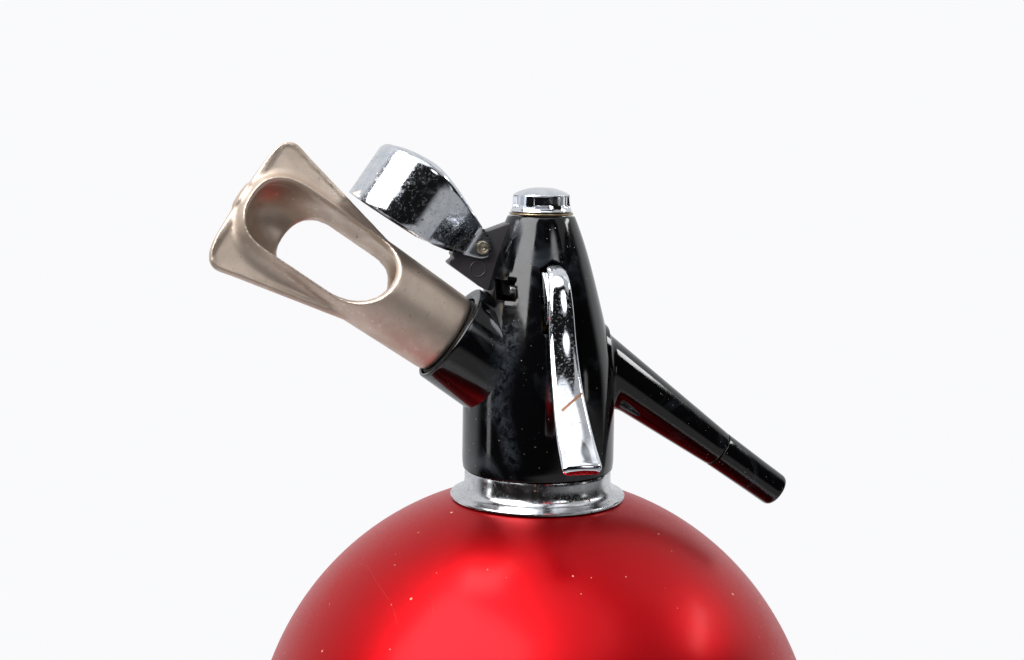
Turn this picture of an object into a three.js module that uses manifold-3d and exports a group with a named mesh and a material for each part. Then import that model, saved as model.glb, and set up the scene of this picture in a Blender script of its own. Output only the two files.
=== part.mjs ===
// A globe soda siphon: a round metal bottle under a black head with a spout, a pour lever,
// a screw-in holder for the gas bulb and a hinged cover for the holder's socket.
import * as THREE from 'three';
import { mergeVertices } from 'three/addons/utils/BufferGeometryUtils.js';
import Module from 'manifold-3d';

const wasm = await Module();
wasm.setup();

// Lengths are in millimetres and angles in degrees. +Z is up, +X is the side of the spout,
// -Y is the side of the pour lever. The bottle stands on the plane z = 0.

// Fits and steps
const seatGap = 0.3;
const runningGap = 0.3;
const cutOverrun = 3;
const bottleSteps = 44;
const turnedSteps = 28;
const boreSteps = 16;
const pinSteps = 10;

// Bottle
const bottleRadius = 77;
const bottleWall = 1.8;
const bottleArcSteps = 15;
const bottleLiningArcSteps = 8;

// Foot
const footRadius = 41;
const footWidth = 11;
const footHeight = 13;
const footPadThickness = 1.9;
const footEdgeRound = 1.6;

// Threaded neck
const neckThreadRadius = 17;
const neckThreadWall = 4;
const neckShoulderWidth = 1.7;
const neckHeight = 19;
const neckSpigotDepth = 5;
const neckEdgeRound = 0.6;

// Chrome collar
const collarWall = 2.65;
const collarFlareWidth = 3.85;
const collarHeight = 8;
const collarLipHeight = 1.2;
const collarEdgeRound = 0.45;
const collarFlareShares = [[0, 0.52], [0.16, 0.32], [0.45, 0.14], [0.8, 0.03]];

// Neck gasket
const gasketThickness = 1.6;

// Head casing
const casingTopOverPin = 8;
const casingFootWall = 2.95;
const casingWall = 2.6;
const casingRoof = 3.4;
const casingNeckGap = 0.4;
const casingOutlineShares = [
  [0.953, 0], [0.988, 0.009], [1, 0.028], [0.998, 0.244], [0.99, 0.352], [0.97, 0.429],
  [0.942, 0.453], [0.899, 0.507], [0.853, 0.56], [0.815, 0.624], [0.762, 0.687],
  [0.71, 0.75], [0.654, 0.813], [0.585, 0.875], [0.515, 0.938], [0.457, 0.984], [0.43, 1],
];
const sightWindowWidth = 4.1;
const sightWindowHeight = 5.2;
const sightWindowX = -11.5;
const sightWindowDrop = 18.1;
const sightWindowFloorY = -5;

// Lever slot in the casing
const slotWidth = 6.9;
const slotBottomDrop = 29.2;
const slotShoulderDrop = 12.8;
const slotApexHeight = 2;

// Valve body
const shoulderHeight = 3.3;
const coreRadius = 7.5;
const coreTopDrop = 26.7;
const plugDepth = 13;
const dipSocketRadius = 4.2;
const dipSocketDepth = 10.3;
const riserRadius = 2.6;
const chamberRadius = 5;
const chamberHeight = 13.5;
const chamberRoofThickness = 3.5;
const stemRadius = 2;
const gasDuctRadius = 1.2;
const gasDuctOffset = 8;
const checkValveRadius = 2.2;
const checkValveLength = 5;
const gasBossRadius = 9.3;
const gasBossInset = 14.8;
const spoutBossRadius = 6.2;
const spoutBossReach = 14;

// Valve parts
const valveSeatThickness = 2.6;
const valveSeatHoleRadius = 1.8;
const valveDiscRadius = 3.6;
const valveDiscThickness = 1.6;
const valveDiscHoleRadius = 1.3;
const stemNoseLength = 1.1;
const glandRadius = 5;
const glandHeight = 2.7;
const stemCollarRadius = 3.6;
const stemCollarThickness = 1.5;
const stemTopGap = 2.7;

// Valve spring
const springRadius = 3.4;
const springWireRadius = 0.4;
const springTurns = 6;
const springTurnSteps = 10;
const springWireSides = 5;

// Yoke over the valve
const yokeRingRadius = 8.5;
const yokeRingThickness = 2;
const yokePostOffset = 7;
const yokePostWidth = 2.2;
const yokePostDepth = 3;
const yokeTopRadius = 7.4;
const yokeTopThickness = 2.2;
const yokeRoofGap = 1.1;
const capScrewRadius = 2.7;

// Top cap
const capRadius = 8.1;
const capHeight = 6.3;
const capSpigotRadius = 5.5;
const capOutlineShares = [
  [0.99, 0], [1, 0.02], [0.97, 0.08], [0.922, 0.23], [0.905, 0.48], [0.885, 0.66],
  [0.84, 0.8], [0.73, 0.9], [0.48, 0.97], [0.2, 0.995], [0, 1],
];
const capNotchCount = 10;
const capNotchWidth = 1.9;
const capNotchHeight = 2.3;
const capNotchDepth = 0.7;
const capNotchRise = 1.7;
const capWasherRadius = 8.45;
const capWasherThickness = 0.5;

// Dip tube
const dipTubeRadius = 3.9;
const dipTubeBoreRadius = 2.6;
const dipTubeFloorGap = 5;
const dipNutRadius = 5.4;
const dipNutHeight = 3.5;
const hexSides = 6;

// Spout
const spoutPitch = 35.6;
const spoutAxisDrop = 27.9;
const spoutSealThickness = 1.2;
const spoutSpigotRadius = 6;
const spoutSpigotLength = 1.6;
const spoutRootRadius = 8.15;
const spoutNeckRadius = 5.1;
const spoutTipRadius = 4.7;
const spoutJointReach = 62.9;
const spoutTipReach = 84.8;
const spoutEndRound = 1.6;
const spoutBoreRadius = 2.9;
const spoutLinerBoreRadius = 2;
const spoutLinerInset = 2.4;

// Gas bulb socket
const holderPitch = 34.7;
const holderAxisOverShoulder = 2.5;
const socketReach = 30.4;
const socketRadius = 13.8;
const socketRootRadius = 14.4;
const socketOffset = 1.1;
const socketRootReach = 8;
const socketBoreRadius = 11.8;
const linerWall = 1.6;
const linerRootGap = 2;
const linerInset = 1.8;

// Piercer
const piercerBushInset = 10.4;
const needleRadius = 1.1;
const needleBoreRadius = 0.45;
const needleLength = 5.6;
const needlePointLength = 1.6;
const bulbSealRadius = 5;
const bulbSealThickness = 2.4;

// Bulb holder
const holderMouthRadius = 10.85;
const holderBodyRadius = 11.7;
const holderBodyStart = 25;
const holderLength = 65;
const holderEndRoundLength = 9;
const holderEndShares = [
  [1, 0], [0.94, 0.39], [0.8, 0.67], [0.56, 0.85], [0.36, 0.92], [0.25, 0.985], [0, 1],
];
const bulbBoreRadius = 9.45;
const bulbNeckBoreRadius = 5;
const bulbShoulderStart = 3;
const bulbShoulderEnd = 14;
const bulbCupInset = 14.8;
const spigotLength = 8.5;
const washerThickness = 1.2;
const washerWall = 1.5;
const windowWidth = 18.4;
const windowStart = 20.6;
const windowEndInset = 5.3;
const backWindowEndInset = 16.4;
const windowCornerRadius = 5;
const windowFloor = 2;
const wingThickness = 2.4;
const wingRadius = 19.9;
const wingStart = 25.2;
const wingEndInset = 1.1;
const wingShoulderInset = 5.4;
const wingCornerRadius = 3.6;
const wingCornerSteps = 5;
const wingRoll = 19;

// Bracket for the socket cover, its outline measured from the cover's pin
const coverPinInset = 3.75;
const coverPinOverWing = 8;
const webThickness = 6;
const webPoints = [
  [10.6, 7.6], [1.9, 4.3], [-2, 3.2], [-4.9, 1], [-7.8, -1.8],
  [-7, -2.8], [-8.7, -4.1], [-7.8, -4.9], [0.6, -10.9], [8.6, -13.4],
];

// Socket cover
const coverTilt = 33.6;
const coverWall = 1;
const coverEarWidth = 8.6;
const coverEarLength = 2.6;
const coverRoundRadius = 13.9;
const coverRoundCentre = 21.9;
const coverRoofStart = 3;
const coverRoundSteps = 12;
const coverRoundTurn = 122;
const coverRimPoints = [[-2.5, -0.8], [-1.4, -2.85], [1.9, -4.3], [8.4, -5.9], [13.2, -7], [36.3, -7.1]];
const coverBackPoints = [
  [35.8, 1.2], [35.4, 7.8], [34.6, 9.3], [29.5, 9.9], [21.9, 10.4], [14.7, 8.8], [10, 7.2], [4.85, 5.3],
];
const coverHingePoints = [[0.85, 3.4], [-2, 1.7]];
const coverPinRadius = 1.1;
const coverPinHeadRadius = 1.55;
const coverPinHeadThickness = 0.9;

// Pour lever, its outlines measured from its pin: distance outwards, height, and the width of the blade
const leverPinInset = 11.85;
const leverPinDrop = 18.7;
const leverPinRadius = 1.25;
const leverPinReach = 10.3;
const leverHubRadius = 3;
const leverLugWidth = 6.2;
const leverArmThickness = 2.2;
const leverArmTip = 0.6;
const leverArmDrop = 1.4;
const leverForkRadius = 2.8;
const leverBladeThickness = 2.2;
const leverCrown = 0.7;
const leverLugPoints = [
  [0, 2.9], [2.9, 5.1], [5.7, 5.4], [7.7, 3.7], [11.7, -1.3],
  [12.7, -6.1], [8.9, -8.8], [4.9, -6.3], [0, -2.9],
];
const leverBladePoints = [
  [5.5, 6.3, 4.4], [9.1, 3.4, 5.6], [12.1, -0.5, 6.4], [13.5, -4.2, 6.8], [15.8, -12.5, 7.3],
  [19.6, -20.5, 7.9], [23.4, -27.1, 8.8], [28.7, -33.7, 9.9], [34, -39.7, 10.6], [35.7, -41.3, 10.2],
];

// Sizes worked out from the ones above
const radians = THREE.MathUtils.degToRad;
const sphereHeight = (radius, distance) => Math.sqrt(radius ** 2 - distance ** 2);
const footBoreRadius = footRadius - footWidth;
const neckBoreRadius = neckThreadRadius - neckThreadWall;
const neckHoleRadius = neckThreadRadius - neckShoulderWidth;
const collarWaistRadius = neckThreadRadius + collarWall;
const collarFlangeRadius = collarWaistRadius + collarFlareWidth;
const casingBoreRadius = neckThreadRadius + casingNeckGap;
const casingRadius = casingBoreRadius + casingFootWall;
const bottleCentreZ = footPadThickness + seatGap + bottleRadius;
const flangeZ = bottleCentreZ + sphereHeight(bottleRadius, collarFlangeRadius);
const crownHeight = (distance) => bottleCentreZ + sphereHeight(bottleRadius, distance) - flangeZ;

// The head's own frame has its origin on the axis at the level of the collar's flange
const casingBottom = collarHeight + seatGap;
const gasketBottom = neckHeight + seatGap;
const shoulderBottom = gasketBottom + gasketThickness + seatGap;
const shoulderRadius = casingBoreRadius - seatGap;
const shoulderTop = shoulderBottom + shoulderHeight;
const plugRadius = neckBoreRadius - runningGap;
const plugBottom = shoulderBottom - plugDepth;

// Along the bulb holder's axis: from the head's axis to the socket, then from the holder's mouth to its end
const holderAxisZ = shoulderTop + holderAxisOverShoulder;
const gasBossReach = socketReach - gasBossInset;
const bushReach = gasBossReach + seatGap;
const piercerBushReach = socketReach - piercerBushInset;
const linerRootReach = gasBossReach + linerRootGap;
const linerEndReach = socketReach - linerInset;
const linerRadius = socketBoreRadius - seatGap;
const linerBoreRadius = linerRadius - linerWall;
const bushRadius = linerBoreRadius - seatGap;
const spigotRadius = linerBoreRadius - seatGap;
const windowEnd = holderLength - windowEndInset;
const backWindowEnd = holderLength - backWindowEndInset;
const bulbCupCentre = holderLength - bulbCupInset;
const wingEnd = holderLength - wingEndInset;
const wingShoulder = wingEnd - wingShoulderInset;

// The cover's pin stands beside the casing, so high that the cover's far end clears the wings as they turn:
// its height over the holder's axis is the wing's radius under that far end, and the set gap more
const coverLength = Math.max(...coverRimPoints.map(([x]) => x));
const wingSlope = (wingRadius - holderBodyRadius) / (wingShoulder - wingStart);
const wingRadiusAtRoot = holderBodyRadius + wingSlope * (coverLength - socketReach - wingStart);
const [holderCos, holderSin] = [Math.cos(radians(holderPitch)), Math.sin(radians(holderPitch))];
const coverPinOut = casingRadius - coverPinInset;
const coverPinReach = (coverPinOut + (wingRadiusAtRoot + coverPinOverWing) * holderSin)
  / (holderCos - wingSlope * holderSin);
const coverPinLift = wingRadiusAtRoot + coverPinOverWing + wingSlope * coverPinReach;
const coverPinZ = holderAxisZ + coverPinReach * holderSin + coverPinLift * holderCos;
const coverEarOuter = coverEarWidth / 2;

// The casing's top stands over the pin, and the valve and the lever hang from that top
const casingTop = coverPinZ + casingTopOverPin;
const casingHeight = casingTop - casingBottom;
const leverPinOut = casingRadius - leverPinInset;
const leverPinZ = casingTop - leverPinDrop;
const coreTop = casingTop - coreTopDrop;
const chamberRoof = coreTop - chamberRoofThickness;
const chamberFloor = chamberRoof - chamberHeight;
const stemBoreRadius = stemRadius + runningGap;
const seatTop = chamberFloor + seatGap + valveSeatThickness;
const discBottom = seatTop + seatGap;
const discTop = discBottom + valveDiscThickness;
const armTop = leverPinZ - leverArmDrop;
const stemCollarBottom = armTop + seatGap;
const stemCollarTop = stemCollarBottom + stemCollarThickness;
const yokeBottom = coreTop + seatGap;
const yokeTop = casingTop - casingRoof - yokeRoofGap;
const yokeTopBottom = yokeTop - yokeTopThickness;
const springBottom = stemCollarTop + seatGap;
const springTop = yokeTopBottom - seatGap;
const stemTop = springTop - stemTopGap;
const capWasherBottom = casingTop + seatGap;
const capBottom = capWasherBottom + capWasherThickness + seatGap;
const dipTubeTop = plugBottom + dipSocketDepth - seatGap;
const dipTubeBottom = bottleCentreZ - (bottleRadius - bottleWall) + dipTubeFloorGap - flangeZ;

// Along the spout's axis, from the head's axis
const spoutSealReach = spoutBossReach + seatGap;
const spoutRootReach = spoutSealReach + spoutSealThickness + seatGap;

// Finishes
const finish = (color, metalness, roughness) => ({ color, metalness, roughness });
const redMetal = finish(0xb4121a, 0.75, 0.32);
const chrome = finish(0xc9ccd0, 1, 0.14);
const blackPlastic = finish(0x111113, 0, 0.18);
const bronzeCasting = finish(0x9c8878, 0.9, 0.38);
const brass = finish(0xb08d57, 1, 0.3);
const blackRubber = finish(0x1b1b1c, 0, 0.8);
const springSteel = finish(0x9a9da1, 1, 0.3);
const paleTube = finish(0xd8d6cf, 0, 0.5);

// A closed geometry as a solid for joining and cutting
const solidOf = (geometry) => {
  const bare = geometry.clone();
  bare.deleteAttribute('normal');
  bare.deleteAttribute('uv');
  const merged = mergeVertices(bare);
  const corners = merged.index.array;
  const kept = [];
  for (let first = 0; first < corners.length; first += 3) {
    const [a, b, c] = [corners[first], corners[first + 1], corners[first + 2]];
    if (a !== b && b !== c && c !== a) kept.push(a, b, c);
  }
  const vertProperties = new Float32Array(merged.attributes.position.array);
  const triVerts = new Uint32Array(kept);
  return new wasm.Manifold(new wasm.Mesh({ numProp: 3, vertProperties, triVerts }));
};

const geometryOf = (solid) => {
  const { vertProperties, triVerts } = solid.getMesh();
  const geometry = new THREE.BufferGeometry();
  geometry.setAttribute('position', new THREE.BufferAttribute(vertProperties, 3));
  geometry.setIndex(new THREE.BufferAttribute(triVerts, 1));
  geometry.computeVertexNormals();
  return geometry;
};

const joined = (geometries) =>
  geometryOf(geometries.map(solidOf).reduce((whole, next) => whole.add(next)));
const cut = (geometry, cutters) =>
  geometryOf(cutters.map(solidOf).reduce((whole, next) => whole.subtract(next), solidOf(geometry)));
const common = (first, second) => geometryOf(solidOf(first).intersect(solidOf(second)));
const cleaned = (geometry) => geometryOf(solidOf(geometry));

const piece = (name, geometry, material) => {
  const mesh = new THREE.Mesh(geometry, new THREE.MeshStandardMaterial(material));
  mesh.name = name;
  return mesh;
};

// A profile of [radius, height] points turned about Z, read with the solid on its left
const turned = (profile, steps = turnedSteps) => {
  const points = profile.map(([radius, height]) => new THREE.Vector2(radius, height));
  if (points[0].x > 0) points.push(points[0].clone());
  return cleaned(new THREE.LatheGeometry(points, steps).rotateX(Math.PI / 2));
};

const rod = (radius, bottom, top, steps = boreSteps) =>
  turned([[0, bottom], [radius, bottom], [radius, top], [0, top]], steps);

const tube = (outer, inner, bottom, top, steps = turnedSteps) =>
  turned([[inner, bottom], [outer, bottom], [outer, top], [inner, top]], steps);

const block = (low, high) => {
  const size = high.map((value, axis) => value - low[axis]);
  const middle = high.map((value, axis) => (value + low[axis]) / 2);
  return new THREE.BoxGeometry(...size).translate(...middle);
};

// An outline of [x, height] points as a plate centred on the plane y = 0
const plate = (outline, thickness) => {
  const shape = new THREE.Shape(outline.map(([x, height]) => new THREE.Vector2(x, height)));
  const geometry = new THREE.ExtrudeGeometry(shape, { depth: thickness, bevelEnabled: false });
  return geometry.translate(0, 0, -thickness / 2).rotateX(Math.PI / 2);
};

// Rings of points joined one to the next, with both ends closed. Each ring runs clockwise about
// the way onwards.
const lofted = (rings) => {
  const sides = rings[0].length;
  const positions = rings.flat().flatMap((point) => [point.x, point.y, point.z]);
  const corners = [];
  for (let ring = 0; ring + 1 < rings.length; ring += 1) {
    for (let side = 0; side < sides; side += 1) {
      const next = (side + 1) % sides;
      const [a, b] = [ring * sides + side, ring * sides + next];
      corners.push(b, a, a + sides, b, a + sides, b + sides);
    }
  }
  const last = (rings.length - 1) * sides;
  for (let side = 1; side + 1 < sides; side += 1) {
    corners.push(0, side, side + 1, last, last + side + 1, last + side);
  }
  const geometry = new THREE.BufferGeometry();
  geometry.setAttribute('position', new THREE.Float32BufferAttribute(positions, 3));
  geometry.setIndex(corners);
  return geometry;
};

// The frame of an axis that crosses the head's own at a height: it falls towards +X, or rises towards -X
const slant = (side, pitch, height) => {
  const [cos, sin] = [Math.cos(radians(pitch)), Math.sin(radians(pitch))];
  const along = new THREE.Vector3(side * cos, 0, -side * sin);
  const up = new THREE.Vector3(sin, 0, cos);
  const across = new THREE.Vector3().crossVectors(along, up);
  return new THREE.Matrix4().makeBasis(up, across, along).setPosition(0, 0, height);
};

const spoutFrame = slant(1, spoutPitch, casingTop - spoutAxisDrop);
const holderFrame = slant(-1, holderPitch, holderAxisZ);
const placed = (geometry, frame) => geometry.clone().applyMatrix4(frame);
const put = (mesh, frame) => {
  frame.decompose(mesh.position, mesh.quaternion, mesh.scale);
  return mesh;
};

// Points of an arc about the axis, from one polar angle to another, in radians above the equator
const arcProfile = (radius, from, to, steps, centre) =>
  Array.from({ length: steps + 1 }, (_, step) => {
    const angle = from + ((to - from) * step) / steps;
    return [radius * Math.cos(angle), centre + radius * Math.sin(angle)];
  });

function bottleShell() {
  const lining = bottleRadius - bottleWall;
  const outside = arcProfile(
    bottleRadius, -Math.PI / 2, Math.acos(neckHoleRadius / bottleRadius), bottleArcSteps, bottleCentreZ,
  );
  const inside = arcProfile(
    lining, Math.acos(neckHoleRadius / lining), -Math.PI / 2, bottleLiningArcSteps, bottleCentreZ,
  );
  outside[0][0] = 0;
  inside[inside.length - 1][0] = 0;
  return piece('bottle_shell', turned([...outside, ...inside], bottleSteps), redMetal);
}

function footRing() {
  const seatRadius = bottleRadius + seatGap;
  const seatHeight = (distance) => bottleCentreZ - sphereHeight(seatRadius, distance);
  const lipRadius = Math.sqrt(seatRadius ** 2 - (bottleCentreZ - footHeight) ** 2);
  const middleRadius = (footBoreRadius + lipRadius) / 2;
  const outline = [
    [footBoreRadius, 0], [footRadius - footEdgeRound, 0], [footRadius, footEdgeRound],
    [footRadius - footEdgeRound / 2, footHeight - footEdgeRound],
    [lipRadius + footEdgeRound / 2, footHeight],
    [lipRadius, footHeight], [middleRadius, seatHeight(middleRadius)],
    [footBoreRadius, seatHeight(footBoreRadius)],
  ];
  return piece('foot_ring', turned(outline, bottleSteps), blackPlastic);
}

function footPad() {
  return piece('foot_pad', rod(footBoreRadius - seatGap, 0, footPadThickness, bottleSteps), blackRubber);
}

function neckBush() {
  const bushSpigotRadius = neckHoleRadius - seatGap;
  const landHeight = crownHeight(neckHoleRadius) + seatGap;
  const outline = [
    [neckBoreRadius, -neckSpigotDepth], [bushSpigotRadius - neckEdgeRound, -neckSpigotDepth],
    [bushSpigotRadius, neckEdgeRound - neckSpigotDepth], [bushSpigotRadius, landHeight],
    [neckThreadRadius, landHeight],
    [neckThreadRadius, neckHeight - neckEdgeRound], [neckThreadRadius - neckEdgeRound, neckHeight],
    [neckBoreRadius, neckHeight],
  ];
  return piece('neck_bush', turned(outline), brass);
}

function collarRing() {
  const boreRadius = neckThreadRadius + seatGap;
  const seat = (distance) => crownHeight(distance) + seatGap;
  const middleRadius = (boreRadius + collarFlangeRadius) / 2;
  const flare = collarFlareShares.map(([heightShare, widthShare]) => [
    collarWaistRadius + (collarFlangeRadius - collarWaistRadius) * widthShare,
    collarLipHeight + (collarHeight - collarEdgeRound - collarLipHeight) * heightShare,
  ]);
  const outline = [
    [boreRadius, seat(boreRadius)], [middleRadius, seat(middleRadius)],
    [collarFlangeRadius, seat(collarFlangeRadius)], [collarFlangeRadius, collarLipHeight - collarEdgeRound],
    [collarFlangeRadius - collarEdgeRound, collarLipHeight],
    ...flare, [collarWaistRadius, collarHeight - collarEdgeRound],
    [collarWaistRadius - collarEdgeRound, collarHeight], [boreRadius, collarHeight],
  ];
  return piece('collar_ring', turned(outline), chrome);
}

function neckGasket() {
  const geometry = tube(neckThreadRadius, neckBoreRadius, gasketBottom, gasketBottom + gasketThickness);
  return piece('neck_gasket', geometry, blackRubber);
}

function casingOutline(inset, top) {
  return casingOutlineShares
    .map(([radiusShare, heightShare]) => [
      radiusShare * casingRadius - inset, casingBottom + heightShare * casingHeight,
    ])
    .filter(([, height]) => height < top);
}

function casingHollow() {
  const top = casingTop - casingRoof;
  const walls = casingOutline(casingWall, top)
    .map(([radius, height]) => [Math.min(radius, casingBoreRadius), height]);
  const [roofRadius] = walls[walls.length - 1];
  const below = casingBottom - cutOverrun;
  const [, ...upperWalls] = walls;
  return turned([[0, below], [casingBoreRadius, below], ...upperWalls, [roofRadius, top], [0, top]]);
}

function leverSlot() {
  const half = slotWidth / 2;
  const [bottom, shoulder] = [casingTop - slotBottomDrop, casingTop - slotShoulderDrop];
  const outline = [
    [-half, bottom], [half, bottom], [half, shoulder], [0, shoulder + slotApexHeight], [-half, shoulder],
  ];
  const depth = casingRadius + cutOverrun - leverPinOut;
  return plate(outline, depth).translate(0, -leverPinOut - depth / 2, 0);
}

function sightWindow() {
  const middle = casingTop - sightWindowDrop;
  const [halfWidth, halfHeight] = [sightWindowWidth / 2, sightWindowHeight / 2];
  return block(
    [sightWindowX - halfWidth, -casingRadius, middle - halfHeight],
    [sightWindowX + halfWidth, sightWindowFloorY, middle + halfHeight],
  );
}

function coverBracket() {
  return plate(webPoints.map(([x, height]) => [x - coverPinOut, coverPinZ + height]).reverse(), webThickness);
}

function headCasing() {
  const body = turned([[0, casingBottom], ...casingOutline(0, casingTop + seatGap), [0, casingTop]]);
  const barrel = turned([
    [0, socketRootReach], [socketRootRadius, socketRootReach], [socketRadius, socketReach], [0, socketReach],
  ]).translate(socketOffset, 0, 0);
  const whole = joined([body, placed(barrel, holderFrame), coverBracket()]);
  const socketBore = rod(socketBoreRadius, socketRootReach, socketReach + cutOverrun, turnedSteps);
  const spoutHole = rod(spoutRootRadius + seatGap, socketRootReach, spoutJointReach / 2, turnedSteps);
  const underRoof = casingTop - casingRoof - cutOverrun;
  const capHole = rod(capSpigotRadius + runningGap, underRoof, casingTop + cutOverrun);
  const leverPinEnd = leverPinReach + seatGap;
  const leverPinHole = rod(leverPinRadius + seatGap, -leverPinEnd, leverPinEnd, pinSteps)
    .rotateY(Math.PI / 2).translate(0, -leverPinOut, leverPinZ);
  const coverPinHole = rod(coverPinRadius + seatGap, -webThickness, webThickness, pinSteps)
    .rotateX(Math.PI / 2).translate(-coverPinOut, 0, coverPinZ);
  const geometry = cut(whole, [
    casingHollow(), placed(socketBore, holderFrame), placed(spoutHole, spoutFrame), capHole,
    leverSlot(), leverPinHole, coverPinHole, sightWindow(),
  ]);
  return piece('head_casing', geometry, blackPlastic);
}

function valveBody() {
  const body = turned([
    [0, plugBottom], [plugRadius, plugBottom], [plugRadius, shoulderBottom], [shoulderRadius, shoulderBottom],
    [shoulderRadius, shoulderTop], [coreRadius, shoulderTop], [coreRadius, coreTop], [0, coreTop],
  ]);
  const gasBoss = placed(rod(gasBossRadius, 0, gasBossReach, turnedSteps), holderFrame);
  const spoutBoss = placed(rod(spoutBossRadius, 0, spoutBossReach), spoutFrame);
  const ceiling = block([-casingRadius, -casingRadius, coreTop], [casingRadius, casingRadius, casingTop]);
  const [below, socketTop] = [plugBottom - cutOverrun, plugBottom + dipSocketDepth];
  const riser = turned([
    [0, below], [dipSocketRadius, below], [dipSocketRadius, socketTop],
    [riserRadius, socketTop], [riserRadius, chamberFloor], [chamberRadius, chamberFloor],
    [chamberRadius, chamberRoof], [stemBoreRadius, chamberRoof], [stemBoreRadius, coreTop + cutOverrun],
    [0, coreTop + cutOverrun],
  ], boreSteps);
  const spoutDuct = rod(spoutLinerBoreRadius, chamberRadius, spoutBossReach + cutOverrun, pinSteps);
  const bendReach = gasDuctOffset / holderCos;
  const bendHeight = holderAxisZ + bendReach * holderSin;
  const gasDuct = rod(gasDuctRadius, bendReach, gasBossReach + cutOverrun, pinSteps);
  const gasDrop = rod(gasDuctRadius, plugBottom, bendHeight + gasDuctRadius, pinSteps);
  const checkSeat = rod(checkValveRadius + seatGap, below, plugBottom + checkValveLength + seatGap, pinSteps);
  const geometry = cut(joined([body, gasBoss, spoutBoss]), [
    ceiling, riser, placed(spoutDuct, spoutFrame), placed(gasDuct, holderFrame),
    gasDrop.translate(-gasDuctOffset, 0, 0), checkSeat.translate(-gasDuctOffset, 0, 0),
  ]);
  return piece('valve_body', geometry, brass);
}

function checkValve() {
  const geometry = rod(checkValveRadius, plugBottom, plugBottom + checkValveLength, pinSteps);
  return piece('gas_check_valve', geometry.translate(-gasDuctOffset, 0, 0), blackRubber);
}

function valveSeat() {
  const bottom = chamberFloor + seatGap;
  const geometry = tube(chamberRadius - seatGap, valveSeatHoleRadius, bottom, seatTop, boreSteps);
  return piece('valve_seat', geometry, paleTube);
}

function valveDisc() {
  const geometry = tube(valveDiscRadius, valveDiscHoleRadius, discBottom, discTop, boreSteps);
  return piece('valve_disc', geometry, blackRubber);
}

function valveStem() {
  const shank = discTop + seatGap;
  const noseRadius = valveDiscHoleRadius - seatGap;
  const geometry = turned([
    [0, shank - stemNoseLength], [noseRadius, shank - stemNoseLength], [noseRadius, shank],
    [stemRadius, shank], [stemRadius, stemCollarBottom], [stemCollarRadius, stemCollarBottom],
    [stemCollarRadius, stemCollarTop], [stemRadius, stemCollarTop], [stemRadius, stemTop], [0, stemTop],
  ], boreSteps);
  return piece('valve_stem', geometry, brass);
}

function valveGland() {
  const bottom = coreTop + seatGap;
  const geometry = tube(glandRadius, stemBoreRadius, bottom, bottom + glandHeight, boreSteps);
  return piece('valve_gland', geometry, brass);
}

function valveSpring() {
  const travel = springTop - springBottom - springWireRadius * 2;
  const steps = springTurns * springTurnSteps;
  const rings = Array.from({ length: steps + 1 }, (_, step) => {
    const turn = (step / springTurnSteps) * Math.PI * 2;
    const height = springBottom + springWireRadius + (travel * step) / steps;
    return Array.from({ length: springWireSides }, (__, side) => {
      const angle = (side / springWireSides) * Math.PI * 2;
      const radius = springRadius + springWireRadius * Math.cos(angle);
      const lift = springWireRadius * Math.sin(angle);
      return new THREE.Vector3(radius * Math.cos(turn), radius * Math.sin(turn), height + lift);
    });
  });
  return piece('valve_spring', cleaned(lofted(rings)), springSteel);
}

function valveYoke() {
  const ring = tube(yokeRingRadius, glandRadius + seatGap, yokeBottom, yokeBottom + yokeRingThickness);
  const top = tube(yokeTopRadius, capScrewRadius + runningGap, yokeTopBottom, yokeTop);
  const posts = [-1, 1].map((side) => block(
    [side * yokePostOffset - yokePostWidth / 2, -yokePostDepth / 2, yokeBottom + yokeRingThickness / 2],
    [side * yokePostOffset + yokePostWidth / 2, yokePostDepth / 2, yokeTopBottom + yokeTopThickness / 2],
  ));
  const bound = rod(yokeRingRadius, yokeBottom, yokeTop, turnedSteps);
  return piece('valve_yoke', common(joined([ring, top, ...posts]), bound), brass);
}

function topCap() {
  const dome = capOutlineShares.map(([radiusShare, heightShare]) => [
    radiusShare * capRadius, capBottom + heightShare * capHeight,
  ]);
  const spigotBottom = yokeTop + seatGap;
  const geometry = turned([
    [0, yokeTopBottom], [capScrewRadius, yokeTopBottom], [capScrewRadius, spigotBottom],
    [capSpigotRadius, spigotBottom], [capSpigotRadius, capBottom], ...dome,
  ]);
  const notchBottom = capBottom + capNotchRise;
  const notches = Array.from({ length: capNotchCount }, (_, count) =>
    block(
      [capRadius - capNotchDepth * 2, -capNotchWidth / 2, notchBottom],
      [capRadius + cutOverrun, capNotchWidth / 2, notchBottom + capNotchHeight],
    ).rotateZ((count / capNotchCount) * Math.PI * 2));
  return piece('top_cap', cut(geometry, notches), chrome);
}

function capWasher() {
  const [bottom, top] = [capWasherBottom, capWasherBottom + capWasherThickness];
  return piece('cap_washer', tube(capWasherRadius, capSpigotRadius + runningGap, bottom, top), brass);
}

function dipTube() {
  const geometry = tube(dipTubeRadius, dipTubeBoreRadius, dipTubeBottom, dipTubeTop, boreSteps);
  return piece('dip_tube', geometry, paleTube);
}

function dipTubeNut() {
  const top = plugBottom - seatGap;
  const geometry = cut(rod(dipNutRadius, top - dipNutHeight, top, hexSides), [
    rod(dipTubeRadius + runningGap, top - dipNutHeight - cutOverrun, top + cutOverrun),
  ]);
  return piece('dip_tube_nut', geometry, brass);
}

function spoutSeal() {
  const top = spoutSealReach + spoutSealThickness;
  const geometry = tube(spoutSpigotRadius, spoutBoreRadius, spoutSealReach, top, boreSteps);
  return put(piece('spout_seal', geometry, blackRubber), spoutFrame);
}

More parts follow.
